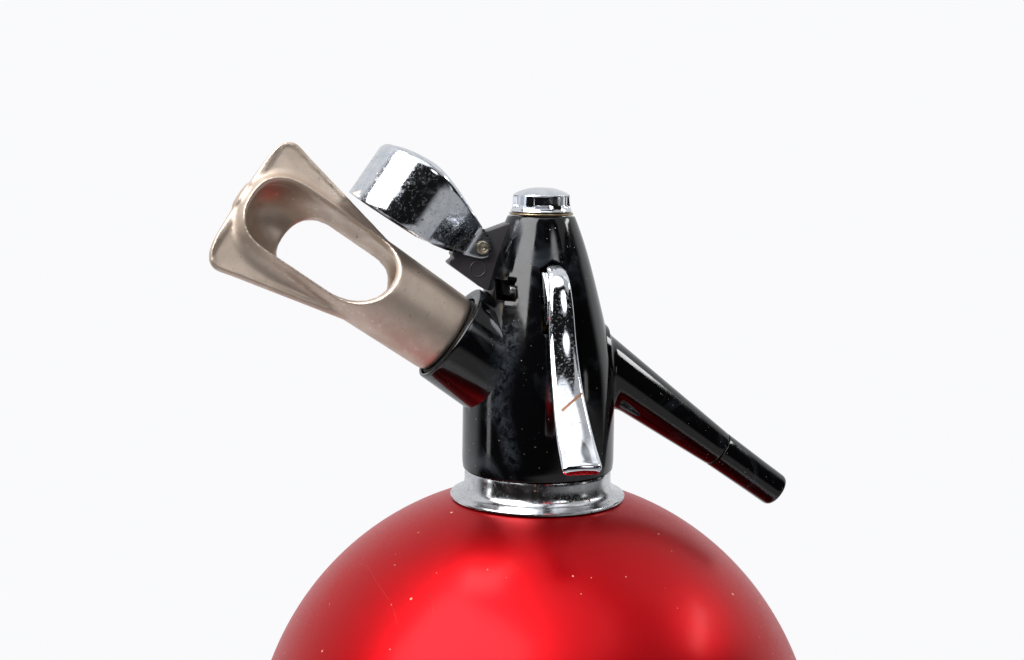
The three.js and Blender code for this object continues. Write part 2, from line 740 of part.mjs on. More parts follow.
function spout() {
  const shoulder = spoutRootReach + spoutSpigotLength;
  const geometry = turned([
    [spoutBoreRadius, spoutRootReach], [spoutSpigotRadius, spoutRootReach], [spoutSpigotRadius, shoulder],
    [spoutRootRadius, shoulder], [spoutNeckRadius, spoutJointReach], [spoutBoreRadius, spoutJointReach],
  ]);
  return put(piece('spout', geometry, blackPlastic), spoutFrame);
}

function spoutTip() {
  const start = spoutJointReach + seatGap;
  const geometry = turned([
    [spoutBoreRadius, start], [spoutNeckRadius, start], [spoutTipRadius, spoutTipReach - spoutEndRound],
    [spoutTipRadius - spoutEndRound / 3, spoutTipReach - spoutEndRound / 3],
    [spoutTipRadius - spoutEndRound, spoutTipReach], [spoutBoreRadius, spoutTipReach],
  ]);
  return put(piece('spout_tip', geometry, blackPlastic), spoutFrame);
}

function spoutLiner() {
  const end = spoutTipReach - spoutLinerInset;
  const geometry = tube(spoutBoreRadius - seatGap, spoutLinerBoreRadius, spoutSealReach, end, boreSteps);
  return put(piece('spout_liner', geometry, paleTube), spoutFrame);
}

function socketLiner() {
  const geometry = tube(linerRadius, linerBoreRadius, linerRootReach, linerEndReach);
  return put(piece('socket_liner', geometry, brass), holderFrame);
}

function piercerBush() {
  const geometry = tube(bushRadius, needleRadius + seatGap, bushReach, piercerBushReach);
  return put(piece('piercer_bush', geometry, brass), holderFrame);
}

function piercerNeedle() {
  const tip = piercerBushReach + needleLength;
  const geometry = turned([
    [needleBoreRadius, bushReach], [needleRadius, bushReach], [needleRadius, tip - needlePointLength],
    [needleBoreRadius + needleBoreRadius / 3, tip], [needleBoreRadius, tip],
  ], pinSteps);
  return put(piece('piercer_needle', geometry, springSteel), holderFrame);
}

function bulbSeal() {
  const bottom = piercerBushReach + seatGap;
  const top = bottom + bulbSealThickness;
  const geometry = tube(bulbSealRadius - seatGap, needleRadius + seatGap, bottom, top, boreSteps);
  return put(piece('bulb_seal', geometry, blackRubber), holderFrame);
}

function holderWasher() {
  const bottom = socketReach - seatGap - washerThickness;
  const inner = spigotRadius + seatGap;
  const geometry = tube(inner + washerWall, inner, bottom, bottom + washerThickness);
  return put(piece('holder_washer', geometry, blackRubber), holderFrame);
}

function wingOutline() {
  const corner = Array.from({ length: wingCornerSteps + 1 }, (_, step) => {
    const angle = (step / wingCornerSteps) * (Math.PI / 2);
    return [
      wingRadius - wingCornerRadius + wingCornerRadius * Math.cos(angle),
      wingEnd - wingCornerRadius + wingCornerRadius * Math.sin(angle),
    ];
  });
  const half = [
    [bulbBoreRadius, wingStart], [holderBodyRadius, wingStart], [wingRadius, wingShoulder], ...corner,
  ];
  const otherHalf = half.map(([radius, height]) => [-radius, height]).reverse();
  return [...half, ...otherHalf];
}

function roundedWindow(start, end, near) {
  const half = windowWidth / 2;
  const r = windowCornerRadius;
  const shape = new THREE.Shape();
  shape.moveTo(-half, start + r);
  shape.absarc(r - half, start + r, r, Math.PI, Math.PI * 1.5);
  shape.absarc(half - r, start + r, r, -Math.PI / 2, 0);
  shape.absarc(half - r, end - r, r, 0, Math.PI / 2);
  shape.absarc(r - half, end - r, r, Math.PI / 2, Math.PI);
  const depth = holderBodyRadius + cutOverrun - windowFloor;
  const settings = { depth, bevelEnabled: false, curveSegments: wingCornerSteps };
  const geometry = new THREE.ExtrudeGeometry(shape, settings);
  const middle = near * (windowFloor + depth / 2);
  return geometry.translate(0, 0, -depth / 2).rotateX(Math.PI / 2).translate(0, middle, 0);
}

function bulbHolder() {
  const endStart = holderLength - holderEndRoundLength;
  const end = holderEndShares.map(([radiusShare, lengthShare]) => [
    radiusShare * holderBodyRadius, endStart + lengthShare * holderEndRoundLength,
  ]);
  const body = turned([
    [0, -spigotLength], [spigotRadius, -spigotLength], [spigotRadius, 0],
    [holderMouthRadius, 0], [holderBodyRadius, holderBodyStart], ...end,
  ]);
  const cup = arcProfile(bulbBoreRadius, 0, Math.PI / 2, wingCornerSteps + 1, bulbCupCentre);
  cup[cup.length - 1][0] = 0;
  const bore = turned([
    [0, -spigotLength - cutOverrun], [bulbNeckBoreRadius, -spigotLength - cutOverrun],
    [bulbNeckBoreRadius, bulbShoulderStart], [bulbBoreRadius, bulbShoulderEnd], ...cup,
  ]);
  const wings = plate(wingOutline(), wingThickness);
  const geometry = cut(joined([body, wings]), [
    bore, roundedWindow(windowStart, windowEnd, -1), roundedWindow(windowStart, backWindowEnd, 1),
  ]);
  const frame = holderFrame.clone()
    .multiply(new THREE.Matrix4().makeTranslation(0, 0, socketReach))
    .multiply(new THREE.Matrix4().makeRotationZ(radians(wingRoll)));
  return put(piece('bulb_holder', geometry, bronzeCasting), frame);
}

// The cover's own frame has its origin in the pin, +X to the far end and +Z away from the open side
const coverFrame = slant(-1, coverTilt, 0);
const coverAxes = new THREE.Matrix4().makeBasis(
  new THREE.Vector3().setFromMatrixColumn(coverFrame, 2),
  new THREE.Vector3(0, -1, 0),
  new THREE.Vector3().setFromMatrixColumn(coverFrame, 0),
).setPosition(-coverPinOut, 0, coverPinZ);

function coverPlan(inset, back) {
  const earHalf = coverEarOuter - inset;
  const radius = coverRoundRadius - inset;
  const start = radians(coverRoundTurn);
  const arc = Array.from({ length: coverRoundSteps + 1 }, (_, step) => {
    const angle = start - (2 * start * step) / coverRoundSteps;
    return new THREE.Vector2(coverRoundCentre + radius * Math.cos(angle), radius * Math.sin(angle));
  });
  return new THREE.Shape([
    new THREE.Vector2(back, -earHalf), new THREE.Vector2(coverEarLength, -earHalf), ...arc.reverse(),
    new THREE.Vector2(coverEarLength, earHalf), new THREE.Vector2(back, earHalf),
  ]);
}

function coverBlank(sideOutline, inset, back) {
  const depth = coverRoundRadius * 2 + cutOverrun;
  const plan = new THREE.ExtrudeGeometry(coverPlan(inset, back), { depth, bevelEnabled: false });
  plan.translate(0, 0, -depth / 2);
  return common(plan, plate(sideOutline, depth));
}

function socketCover() {
  const sideOutline = [...coverRimPoints, ...coverBackPoints, ...coverHingePoints];
  const outside = coverBlank(sideOutline, 0, -coverEarLength);
  const openBack = -coverEarLength - cutOverrun;
  const rimHeight = Math.min(...coverRimPoints.map(([, height]) => height));
  const top = Math.max(...coverBackPoints.map(([, height]) => height)) + cutOverrun;
  const [, roofEdge] = coverBackPoints[coverBackPoints.length - 1];
  const roof = coverBackPoints.map(([x, height]) => [
    Math.min(x, coverLength - coverWall * 2), height - coverWall,
  ]);
  const hollow = [
    [openBack, rimHeight - cutOverrun], [coverLength - coverWall, rimHeight - cutOverrun],
    ...roof, [coverRoofStart, roofEdge - coverWall], [coverRoofStart, top], [openBack, top],
  ];
  const pinHole = rod(coverPinRadius + runningGap, -coverEarWidth, coverEarWidth, pinSteps)
    .rotateX(Math.PI / 2);
  const geometry = cut(outside, [coverBlank(hollow, coverWall, openBack), pinHole]);
  return put(piece('socket_cover', geometry, chrome), coverAxes);
}

function coverPin() {
  const shoulder = coverEarOuter + seatGap;
  const end = shoulder + coverPinHeadThickness;
  const geometry = turned([
    [0, -end], [coverPinHeadRadius, -end], [coverPinHeadRadius, -shoulder], [coverPinRadius, -shoulder],
    [coverPinRadius, shoulder], [coverPinHeadRadius, shoulder], [coverPinHeadRadius, end], [0, end],
  ], pinSteps).rotateX(Math.PI / 2);
  const mesh = piece('cover_pin', geometry, brass);
  mesh.position.set(-coverPinOut, 0, coverPinZ);
  return mesh;
}

function leverPin() {
  const geometry = rod(leverPinRadius, -leverPinReach, leverPinReach, pinSteps).rotateY(Math.PI / 2);
  const mesh = piece('lever_pin', geometry, springSteel);
  mesh.position.set(0, -leverPinOut, leverPinZ);
  return mesh;
}

function leverBlade() {
  const stations = leverBladePoints.map(([out, height, width]) => ({
    out: leverPinOut + out, height: leverPinZ + height, width,
  }));
  const rings = stations.map((station, index) => {
    const before = stations[Math.max(index - 1, 0)];
    const after = stations[Math.min(index + 1, stations.length - 1)];
    const along = new THREE.Vector2(after.out - before.out, after.height - before.height).normalize();
    const outward = new THREE.Vector2(-along.y, along.x);
    const at = (across, depth) => new THREE.Vector3(
      station.out - outward.x * depth, across * station.width / 2, station.height - outward.y * depth,
    );
    const back = leverCrown + leverBladeThickness;
    return [
      at(-1, leverCrown), at(-1 / 2, leverCrown / 4), at(0, 0), at(1 / 2, leverCrown / 4), at(1, leverCrown),
      at(1, back), at(-1, back),
    ];
  });
  return cleaned(lofted(rings));
}

function pourLever() {
  const half = leverLugWidth / 2;
  const armBottom = armTop - leverArmThickness;
  const hub = rod(leverHubRadius, -half, half).rotateX(Math.PI / 2).translate(leverPinOut, 0, leverPinZ);
  const lugOutline = leverLugPoints.map(([out, height]) => [leverPinOut + out, leverPinZ + height]);
  const lug = plate(lugOutline.reverse(), leverLugWidth);
  const arm = block([-leverArmTip, -half, armBottom], [leverPinOut, half, armTop]);
  const pinHole = rod(leverPinRadius + runningGap, -leverLugWidth, leverLugWidth, pinSteps)
    .rotateX(Math.PI / 2).translate(leverPinOut, 0, leverPinZ);
  const [forkBottom, forkTop] = [armBottom - cutOverrun, armTop + cutOverrun];
  const fork = rod(leverForkRadius, forkBottom, forkTop);
  const forkMouth = block([-leverHubRadius, -leverForkRadius, forkBottom], [0, leverForkRadius, forkTop]);
  const geometry = cut(joined([leverBlade(), lug, hub, arm]), [pinHole, fork, forkMouth]);
  const mesh = piece('pour_lever', geometry, chrome);
  mesh.rotation.z = -Math.PI / 2;
  return mesh;
}

const siphon = new THREE.Group();
siphon.add(bottleShell(), footRing(), footPad());

const head = new THREE.Group();
head.position.z = flangeZ;
head.add(
  neckBush(), collarRing(), neckGasket(), headCasing(), valveBody(), checkValve(), valveSeat(), valveDisc(),
  valveStem(), valveGland(), valveSpring(), valveYoke(), topCap(), capWasher(), dipTube(), dipTubeNut(),
  spoutSeal(), spout(), spoutTip(), spoutLiner(), socketLiner(), piercerBush(), piercerNeedle(), bulbSeal(),
  holderWasher(), bulbHolder(), socketCover(), coverPin(), leverPin(), pourLever(),
);
siphon.add(head);

export default siphon;
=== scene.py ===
# The looks of a globe soda siphon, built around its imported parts.
from math import asin, atan2, cos, degrees, hypot, pi, radians, sin, sqrt, tan

import bmesh
import bpy
import numpy as np
from mathutils import Matrix, Vector


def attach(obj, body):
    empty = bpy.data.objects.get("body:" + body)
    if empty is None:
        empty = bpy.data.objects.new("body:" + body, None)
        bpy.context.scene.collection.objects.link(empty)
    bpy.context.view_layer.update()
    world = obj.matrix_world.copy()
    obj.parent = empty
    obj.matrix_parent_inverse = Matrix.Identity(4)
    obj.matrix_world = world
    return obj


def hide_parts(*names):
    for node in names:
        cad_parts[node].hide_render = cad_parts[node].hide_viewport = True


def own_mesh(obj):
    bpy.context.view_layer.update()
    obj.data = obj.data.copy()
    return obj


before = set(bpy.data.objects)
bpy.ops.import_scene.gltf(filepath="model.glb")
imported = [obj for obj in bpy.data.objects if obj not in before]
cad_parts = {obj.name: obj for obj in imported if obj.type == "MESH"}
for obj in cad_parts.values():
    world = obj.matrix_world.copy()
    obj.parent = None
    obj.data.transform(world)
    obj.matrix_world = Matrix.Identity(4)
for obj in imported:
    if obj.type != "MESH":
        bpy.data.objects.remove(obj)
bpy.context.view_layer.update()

# Sizes are in millimetres. Heights are over the level of the collar's flange, unless a line says otherwise.
MM = 0.001
FLANGE_HEIGHT = 152.526

BOTTLE_RADIUS = 77.0
BOTTLE_WALL = 1.8
BOTTLE_CENTRE = 79.2 - FLANGE_HEIGHT
GROUND = -FLANGE_HEIGHT
NECK_HOLE_RADIUS = 15.3
NECK_THREAD_RADIUS = 17.0
NECK_ROOT_RADIUS = 16.3
NECK_BORE_RADIUS = 13.0
NECK_HEIGHT = 19.0
NECK_DEPTH = 5.0
COLLAR_WAIST = 19.65
COLLAR_FLANGE = 23.5
COLLAR_HEIGHT = 8.0
COLLAR_LIP = 1.2

CASING_BOTTOM = 8.3
CASING_TOP = 75.70
CASING_RADIUS = 20.35
CASING_BORE = 17.4
CASING_WALL = 2.6
CASING_ROOF = 72.3
CASING_SIDE = [
    [8.3, 20.1], [10, 20.32], [14, 20.35], [24, 20.3], [30, 20.15], [36, 19.6], [42, 18.5],
    [48, 17.15], [54, 15.65], [60, 14.08], [66, 12.36], [72, 10.33], [75.7, 8.85], [78, 7.8],
]
GRID_BOTTOM, GRID_TOP = 8.62, 71.9
CAP_HOLE_RADIUS = 5.8
SLOT_HALF_WIDTH = 3.45
SLOT_BOTTOM, SLOT_SHOULDER = 46.5, 62.9
SLOT_GABLE = 2.0
WINDOW_NEAR, WINDOW_FAR = -9.45, -13.55
WINDOW_BOTTOM, WINDOW_TOP = 54.4, 59.6

CAP_BOTTOM = 76.8
CAP_NOTCHES = 6
CAP_NOTCH_FLOOR = 6.65
CAP_NOTCH_TURN = -101
CAP_NOTCH_ENDS = [0.9, 1.8, 4.05, 4.32]
CAP_NOTCH_SIDES = [15, 20.5]

SPOUT_PITCH = 35.6
SPOUT_AXIS_HEIGHT = 47.8
SPOUT_HOLE = 6.4
SPOUT_ROOT_RADIUS = 8.15
SPOUT_NECK_RADIUS = 5.1
SPOUT_TIP_RADIUS = 4.7
SPOUT_JOINT, SPOUT_END = 62.9, 84.8
SPOUT_BORE = 2.9

HOLDER_PITCH = 34.7
HOLDER_AXIS_HEIGHT = 27.0
HOLDER_ROLL = 19.0
HOLDER_BORE = 9.6
HOLDER_BORE_END = 62.0
HOLDER_VOXEL = 0.36
KNOB_RADIUS = 3.9
TUB_RADIUS = 11.7
TUB_STRAIGHT, TUB_END = 50.2, 13.7
SOCKET_HOLE = 12.45
SOCKET_REACH = 30.4
SOCKET_RADIUS = 13.8
SOCKET_ROOT_RADIUS = 14.4
SOCKET_OFFSET = 1.1
SOCKET_BORE = 11.8

PIN_OUT, PIN_HEIGHT = 16.6, 67.70
COVER_TILT = 33.6
COVER_WALL = 1.0
EAR_END = -2.68
EAR_HALF_WIDTH = 4.3
NOSE_CENTRE, NOSE_RADIUS = 21.9, 13.9

LEVER_PIN_OUT, LEVER_PIN_HEIGHT = 8.5, 57.0


def moved(x, y, z):
    return Matrix.Translation((x, y, z))


def turned_by(angle, axis):
    return Matrix.Rotation(radians(angle), 4, axis)


UPRIGHT = moved(0, 0, FLANGE_HEIGHT)


def slant(side, pitch, height):
    """The frame of an axis that crosses the head's own: it falls towards +X, or rises towards -X."""
    along = Vector((side * cos(radians(pitch)), 0, -side * sin(radians(pitch))))
    up = Vector((sin(radians(pitch)), 0, cos(radians(pitch))))
    return UPRIGHT @ moved(0, 0, height) @ Matrix((up, up.cross(along) * -1, along)).transposed().to_4x4()


SPOUT_PLACE = slant(1, SPOUT_PITCH, SPOUT_AXIS_HEIGHT)
HOLDER_PLACE = slant(-1, HOLDER_PITCH, HOLDER_AXIS_HEIGHT)
SPOUT_ALONG, HOLDER_ALONG = (place.col[2].to_3d() for place in (SPOUT_PLACE, HOLDER_PLACE))
PIN_PLACE = UPRIGHT @ moved(-PIN_OUT, 0, PIN_HEIGHT)


# ---- Outlines

def filleted(corners, closed=True, steps=5):
    """An outline of [x, y] corners, where a third number rounds the corner."""
    outline = []
    for index, (x, y, *fillet) in enumerate(corners):
        here = Vector((x, y))
        if not fillet or (not closed and index in (0, len(corners) - 1)):
            outline.append((x, y))
            continue
        before = Vector(corners[index - 1][:2]) - here
        after = Vector(corners[(index + 1) % len(corners)][:2]) - here
        reach = fillet[0] / tan(before.angle(after) / 2)
        start, end = (here + arm.normalized() * min(reach, arm.length * 0.49) for arm in (before, after))
        for share in np.linspace(0, 1, steps + 1):
            outline.append(tuple(start * (1 - share) ** 2 + here * (2 * share * (1 - share)) + end * share ** 2))
    return outline


def through(points, steps=8):
    """A smooth line through the points."""
    points = np.array(points, float)
    ends = [2 * points[0] - points[1], *points, 2 * points[-1] - points[-2]]
    line = []
    for before, start, end, after in zip(ends, ends[1:], ends[2:], ends[3:]):
        for t in np.arange(steps) / steps:
            line.append(0.5 * (2 * start + (end - before) * t + (2 * before - 5 * start + 4 * end - after) * t ** 2
                               + (3 * start - before - 3 * end + after) * t ** 3))
    return [*line, points[-1]]


def arc(radius, start, end, steps, centre=(0, 0)):
    """Points of an arc, its angles in degrees."""
    angles = np.radians(np.linspace(start, end, steps + 1))
    return [(centre[0] + radius * cos(a), centre[1] + radius * sin(a)) for a in angles]


def reading(points):
    """What a line of [place, value] points reads at any place."""
    places, values = np.array(points, float).T
    return lambda place: np.interp(place, places, values)


def round_ring(radii, angles, levels, shift=0.0):
    """Points round an axis at the angles, where radius and level may change from one to the next."""
    radii, levels = (np.broadcast_to(np.asarray(given, float), len(angles)) for given in (radii, levels))
    return [(shift + radius * cos(a), radius * sin(a), level) for radius, a, level in zip(radii, angles, levels)]


# ---- Meshes

def linked(name, data):
    """A new object in the scene."""
    piece = bpy.data.objects.new(name, data)
    bpy.context.scene.collection.objects.link(piece)
    return piece


def solid_of(name, points, faces, place=UPRIGHT):
    """A piece from points in millimetres in the frame of its place, its faces turned outwards."""
    matrix = Matrix.Scale(MM, 4) @ place
    mesh = bpy.data.meshes.new(name)
    mesh.from_pydata([matrix @ Vector(point) for point in points], [], faces)
    form = bmesh.new()
    form.from_mesh(mesh)
    bmesh.ops.remove_doubles(form, verts=form.verts, dist=1e-7)
    bmesh.ops.recalc_face_normals(form, faces=form.faces)
    form.to_mesh(mesh)
    form.free()
    mesh.validate()
    return linked(name, mesh)


def strip(low, high):
    """The faces between two lines of point numbers, without those that shrink to nothing."""
    faces = (list(dict.fromkeys((low[k], low[k + 1], high[k + 1], high[k]))) for k in range(len(low) - 1))
    return [face for face in faces if len(face) > 2]


def skins(rings, round_trip=False):
    """The faces between rings of point numbers, each ring closed."""
    pairs = zip(rings, rings[1:] + (rings[:1] if round_trip else []))
    return [face for low, high in pairs for face in strip([*low, low[0]], [*high, high[0]])]


def turned(name, profile, steps=96, place=UPRIGHT):
    """A closed outline of [radius, height] turned about the axis of its place."""
    points, rings = [], []
    angles = np.linspace(0, 2 * pi, steps, endpoint=False)
    for radius, height in profile:
        if radius < 1e-6:
            rings.append([len(points)] * steps)
            points.append((0, 0, height))
        else:
            rings.append(list(range(len(points), len(points) + steps)))
            points.extend(round_ring(radius, angles, height))
    return solid_of(name, points, skins(rings, round_trip=True), place)


def lofted(name, rings, place=UPRIGHT, closed=False):
    """Rings of points joined one to the next: a solid with two ends, or with the last ring joined to the first."""
    sides = len(rings[0])
    numbers = [list(range(k * sides, (k + 1) * sides)) for k in range(len(rings))]
    faces = skins(numbers, closed) + ([] if closed else [numbers[0], numbers[-1]])
    return solid_of(name, [point for ring in rings for point in ring], faces, place)


def plate(name, outline, thickness, place=UPRIGHT):
    """An outline of [x, height] points as a plate across the plane y = 0."""
    return lofted(name, [[(x, side * thickness / 2, z) for x, z in outline] for side in (-1, 1)], place)


def settled(piece):
    """The piece with its modifiers worked into its mesh."""
    graph = bpy.context.evaluated_depsgraph_get()
    graph.update()
    mesh = bpy.data.meshes.new_from_object(piece.evaluated_get(graph))
    piece.modifiers.clear()
    piece.data = mesh
    return piece


def modified(piece, kind, **settings):
    """The piece with one more modifier, not yet worked in."""
    modifier = piece.modifiers.new(kind.lower(), kind)
    for name, value in settings.items():
        setattr(modifier, name, value)
    return piece


def softened(piece, width, angle=40, steps=3):
    """The piece with its sharp edges rounded."""
    return settled(modified(piece, "BEVEL", width=width * MM, segments=steps, limit_method="ANGLE",
                            angle_limit=radians(angle), use_clamp_overlap=True))


def cut_by(piece, cutter):
    """The piece cut by another, which is used up."""
    settled(modified(piece, "BOOLEAN", operation="DIFFERENCE", solver="EXACT", object=cutter))
    bpy.data.objects.remove(cutter)


def gathered(pieces):
    """Several pieces as one, under the first one's name."""
    form = bmesh.new()
    for piece in pieces:
        form.from_mesh(piece.data)
    form.to_mesh(pieces[0].data)
    form.free()
    for piece in pieces[1:]:
        bpy.data.objects.remove(piece)
    return pieces[0]


def dressed(piece, material, body, slot, *nodes, crease=38):
    """The finished piece: smooth, in its material, on its body, standing for its CAD nodes."""
    piece.data.shade_smooth()
    piece.data.set_sharp_from_angle(angle=radians(crease))
    piece.data.materials.clear()
    piece.data.materials.append(material)
    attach(piece, body)
    if nodes:
        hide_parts(*nodes)


# ---- Trees of nodes

def feed(node, *fed, **named):
    """Sets or links a node's sockets, by their order or by their names."""
    for key, value in [*enumerate(fed), *named.items()]:
        socket = node.inputs[key if isinstance(key, int) else key.replace("_", " ")]
        if isinstance(value, bpy.types.NodeSocket):
            node.id_data.links.new(value, socket)
        elif isinstance(value, tuple) and socket.type == "RGBA":
            socket.default_value = (*value, 1)
        else:
            socket.default_value = value
    return node


def grow(tree, kind, *fed, settings=None, **named):
    """A new node with its settings and its sockets fed."""
    node = tree.nodes.new(kind)
    for name, value in (settings or {}).items():
        setattr(node, name, value)
    return feed(node, *fed, **named)


# ---- Finishes

class Recipe:
    """A finish under way: a shader and the nodes that feed it, all in the object's own coordinates."""

    def __init__(self, name, **constants):
        self.material = bpy.data.materials.new(name)
        self.material.use_nodes = True
        self.material.node_tree.nodes.clear()
        self.shader = self.add("BsdfPrincipled", **constants)
        self.add("OutputMaterial", Surface=self.shader.outputs[0])
        self.place = self.add("TexCoord").outputs["Object"]

    def add(self, kind, *fed, **named):
        return grow(self.material.node_tree, "ShaderNode" + kind, *fed, **named)

    def stretched(self, scale, shift=(0, 0, 0)):
        """The object's coordinates, scaled per axis and shifted."""
        return self.add("Mapping", Vector=self.place, Scale=scale, Location=shift).outputs[0]

    def noise(self, scale, detail=4.0, roughness=0.55, distortion=0.0, at=None):
        return self.add("TexNoise", Vector=at or self.place, Scale=scale, Detail=detail, Roughness=roughness,
                        Distortion=distortion).outputs[0]

    def between(self, value, low, high, to_low=0.0, to_high=1.0, how="SMOOTHSTEP"):
        """The value's part between low and high, spread from to_low to to_high."""
        return self.add("MapRange", Value=value, From_Min=low, From_Max=high, To_Min=to_low, To_Max=to_high,
                        settings={"interpolation_type": how}).outputs[0]

    def maths(self, how, first, second):
        return self.add("Math", first, second, settings={"operation": how}).outputs[0]

    def times(self, first, second):
        return self.maths("MULTIPLY", first, second)

    def plus(self, first, second):
        return self.maths("ADD", first, second)

    def most(self, first, second):
        return self.maths("MAXIMUM", first, second)

    def vectors(self, how, *fed, **named):
        return self.add("VectorMath", *fed, settings={"operation": how}, **named).outputs

    def mix(self, share, first, second, kind="FLOAT"):
        node = self.add("Mix", settings={"data_type": kind})
        return feed(node, Factor=share, A=first, B=second).outputs["Result"]

    def blend(self, share, first, second):
        """A mix of two colours."""
        return self.mix(share, first, second, "RGBA")

    def layered(self, colour, *layers):
        """A colour under layers of mask, strength and tint."""
        for mask, strength, tint in layers:
            colour = self.blend(self.times(mask, strength), colour, tint)
        return colour

    def specks(self, cell, radius, share, at=None):
        """Round specks, as a mask: cell and radius in millimetres, and the share of cells with a speck."""
        cells = self.add("TexVoronoi", Vector=at or self.place, Scale=1 / (cell * MM)).outputs
        draw = self.add("SeparateColor", Color=cells["Color"]).outputs
        near = self.maths("LESS_THAN", cells["Distance"], self.times(draw[0], 1.6 * radius / cell))
        return self.times(near, self.maths("LESS_THAN", draw[1], share))

    def hairs(self, cell, width, share):
        """Fine scratches, as a mask: pieces of a wavy net of lines, its cells in millimetres."""
        size = cell * MM
        sway = self.add("TexNoise", Vector=self.place, Scale=0.6 / size, Detail=2).outputs["Color"]
        bent = self.vectors("ADD", self.place, self.vectors("SCALE", sway, Scale=size * 0.9)[0])[0]
        net = self.add("TexVoronoi", Vector=bent, Scale=1 / size, settings={"feature": "DISTANCE_TO_EDGE"})
        line = self.maths("LESS_THAN", net.outputs["Distance"], width / cell)
        return self.times(line, self.between(self.noise(1 / size, 2), 0.62 - share * 0.3, 0.66 - share * 0.3))

    def stroke(self, start, end, width, soft=0.0):
        """One straight mark between two points, as a mask with a soft border, in millimetres over the flange."""
        start, end = (UPRIGHT @ Vector(point) * MM for point in (start, end))
        way = end - start
        arm = self.vectors("SUBTRACT", self.place, start)[0]
        share = self.vectors("DOT_PRODUCT", arm, way / way.length_squared)["Value"]
        foot = self.vectors("SCALE", way, Scale=self.between(share, 0, 1, how="LINEAR"))[0]
        gap = self.vectors("DISTANCE", arm, foot)["Value"]
        return self.between(gap, (width - soft) * MM, (width + 0.02) * MM, 1.0, 0.0)

    def finish(self, colour, rough, height, depth, **others):
        """The material, with a relief whose depth is in millimetres."""
        relief = self.add("Bump", Height=height, Distance=depth * MM, Strength=1.0).outputs[0]
        feed(self.shader, Base_Color=colour, Roughness=rough, Normal=relief, **others)
        return self.material


def red_satin():
    """Anodised red metal under a thin lacquer, with dust, hair scratches, a gouge and a faint spun grain."""
    r = Recipe("red_satin", Metallic=1.0, IOR=1.5, Coat_Weight=0.12, Coat_Roughness=0.2)
    tone = r.between(r.noise(14, 3), 0.3, 0.7)
    grain = r.noise(1300, 4)
    spun = r.noise(1, 5, at=r.stretched((9, 9, 1500)))
    haze = r.between(r.noise(38, 5, 0.6), 0.45, 0.75)
    dust = r.most(r.specks(1.9, 0.14, 0.2), r.specks(4.9, 0.26, 0.4))
    scratch = r.hairs(34, 0.03, 0.02)
    gouge = r.stroke((-35.2, -34.9, -14.5), (-35.2, -39.9, -17.7), 0.25, 0.15)
    colour = r.layered(r.blend(tone, (0.47, 0.003, 0.007), (0.53, 0.005, 0.009)), (dust, 0.8, (0.78, 0.42, 0.30)),
                       (scratch, 0.4, (0.86, 0.20, 0.16)), (gouge, 0.8, (0.14, 0.01, 0.01)))
    rough = r.mix(dust, r.plus(r.between(grain, 0.3, 0.7, 0.36, 0.42), r.times(haze, 0.06)), 0.7)
    height = r.plus(r.times(spun, 0.5), r.times(grain, 0.4))
    return r.finish(colour, rough, height, 0.0012, Metallic=r.mix(dust, 1.0, 0.2))


def worn_chrome(name, seed, haze_share, pit_share, brown_share, bloom_share, wear, *marks):
    """Old chrome plate: bright, with hazy patches, a speckled bloom, dark pits, brown specks and rusty marks."""
    r = Recipe(name, Metallic=1.0, IOR=1.5)
    shift = r.stretched((1, 1, 1), (seed * 0.013, seed * 0.029, seed * 0.017))
    mottle = r.noise(260, 6, 0.62, at=shift)
    patch = r.between(r.noise(90, 4, 0.6, 0.6, shift), 0.62 - haze_share * 0.3, 0.72 - haze_share * 0.2)
    zone = r.between(r.noise(85, 3, 0.55, 0.5, shift), 0.66 - bloom_share * 0.4, 0.74 - bloom_share * 0.36)
    bloom = r.times(r.between(r.noise(1500, 6, 0.7, at=shift), 0.50, 0.66), zone)
    pits = r.most(r.specks(0.8, 0.09, pit_share, shift), r.specks(2.2, 0.2, pit_share * 0.5, shift))
    spots = r.most(r.specks(3.1, 0.34, brown_share, shift), r.specks(1.3, 0.16, brown_share, shift))
    for start, end, width in marks:
        spots = r.most(spots, r.stroke(start, end, width))
    colour = r.blend(r.between(mottle, 0.35, 0.7), (0.84, 0.86, 0.90), (0.68, 0.71, 0.77))
    colour = r.blend(wear, r.layered(colour, (patch, 0.4, (0.60, 0.62, 0.65))), (0.40, 0.385, 0.35))
    colour = r.layered(colour, (bloom, 0.6, (0.36, 0.40, 0.48)), (pits, 0.8, (0.10, 0.095, 0.09)),
                       (spots, 0.9, (0.36, 0.16, 0.06)))
    eaten = r.most(pits, spots)
    bare = r.between(mottle, 0.3, 0.75, 0.05 + wear * 0.2, 0.11 + wear * 0.45)
    rough = r.mix(eaten, r.mix(bloom, r.plus(bare, r.times(patch, 0.16)), 0.34), 0.65)
    return r.finish(colour, rough, r.plus(r.times(eaten, -1), r.times(mottle, 0.5)), 0.008)


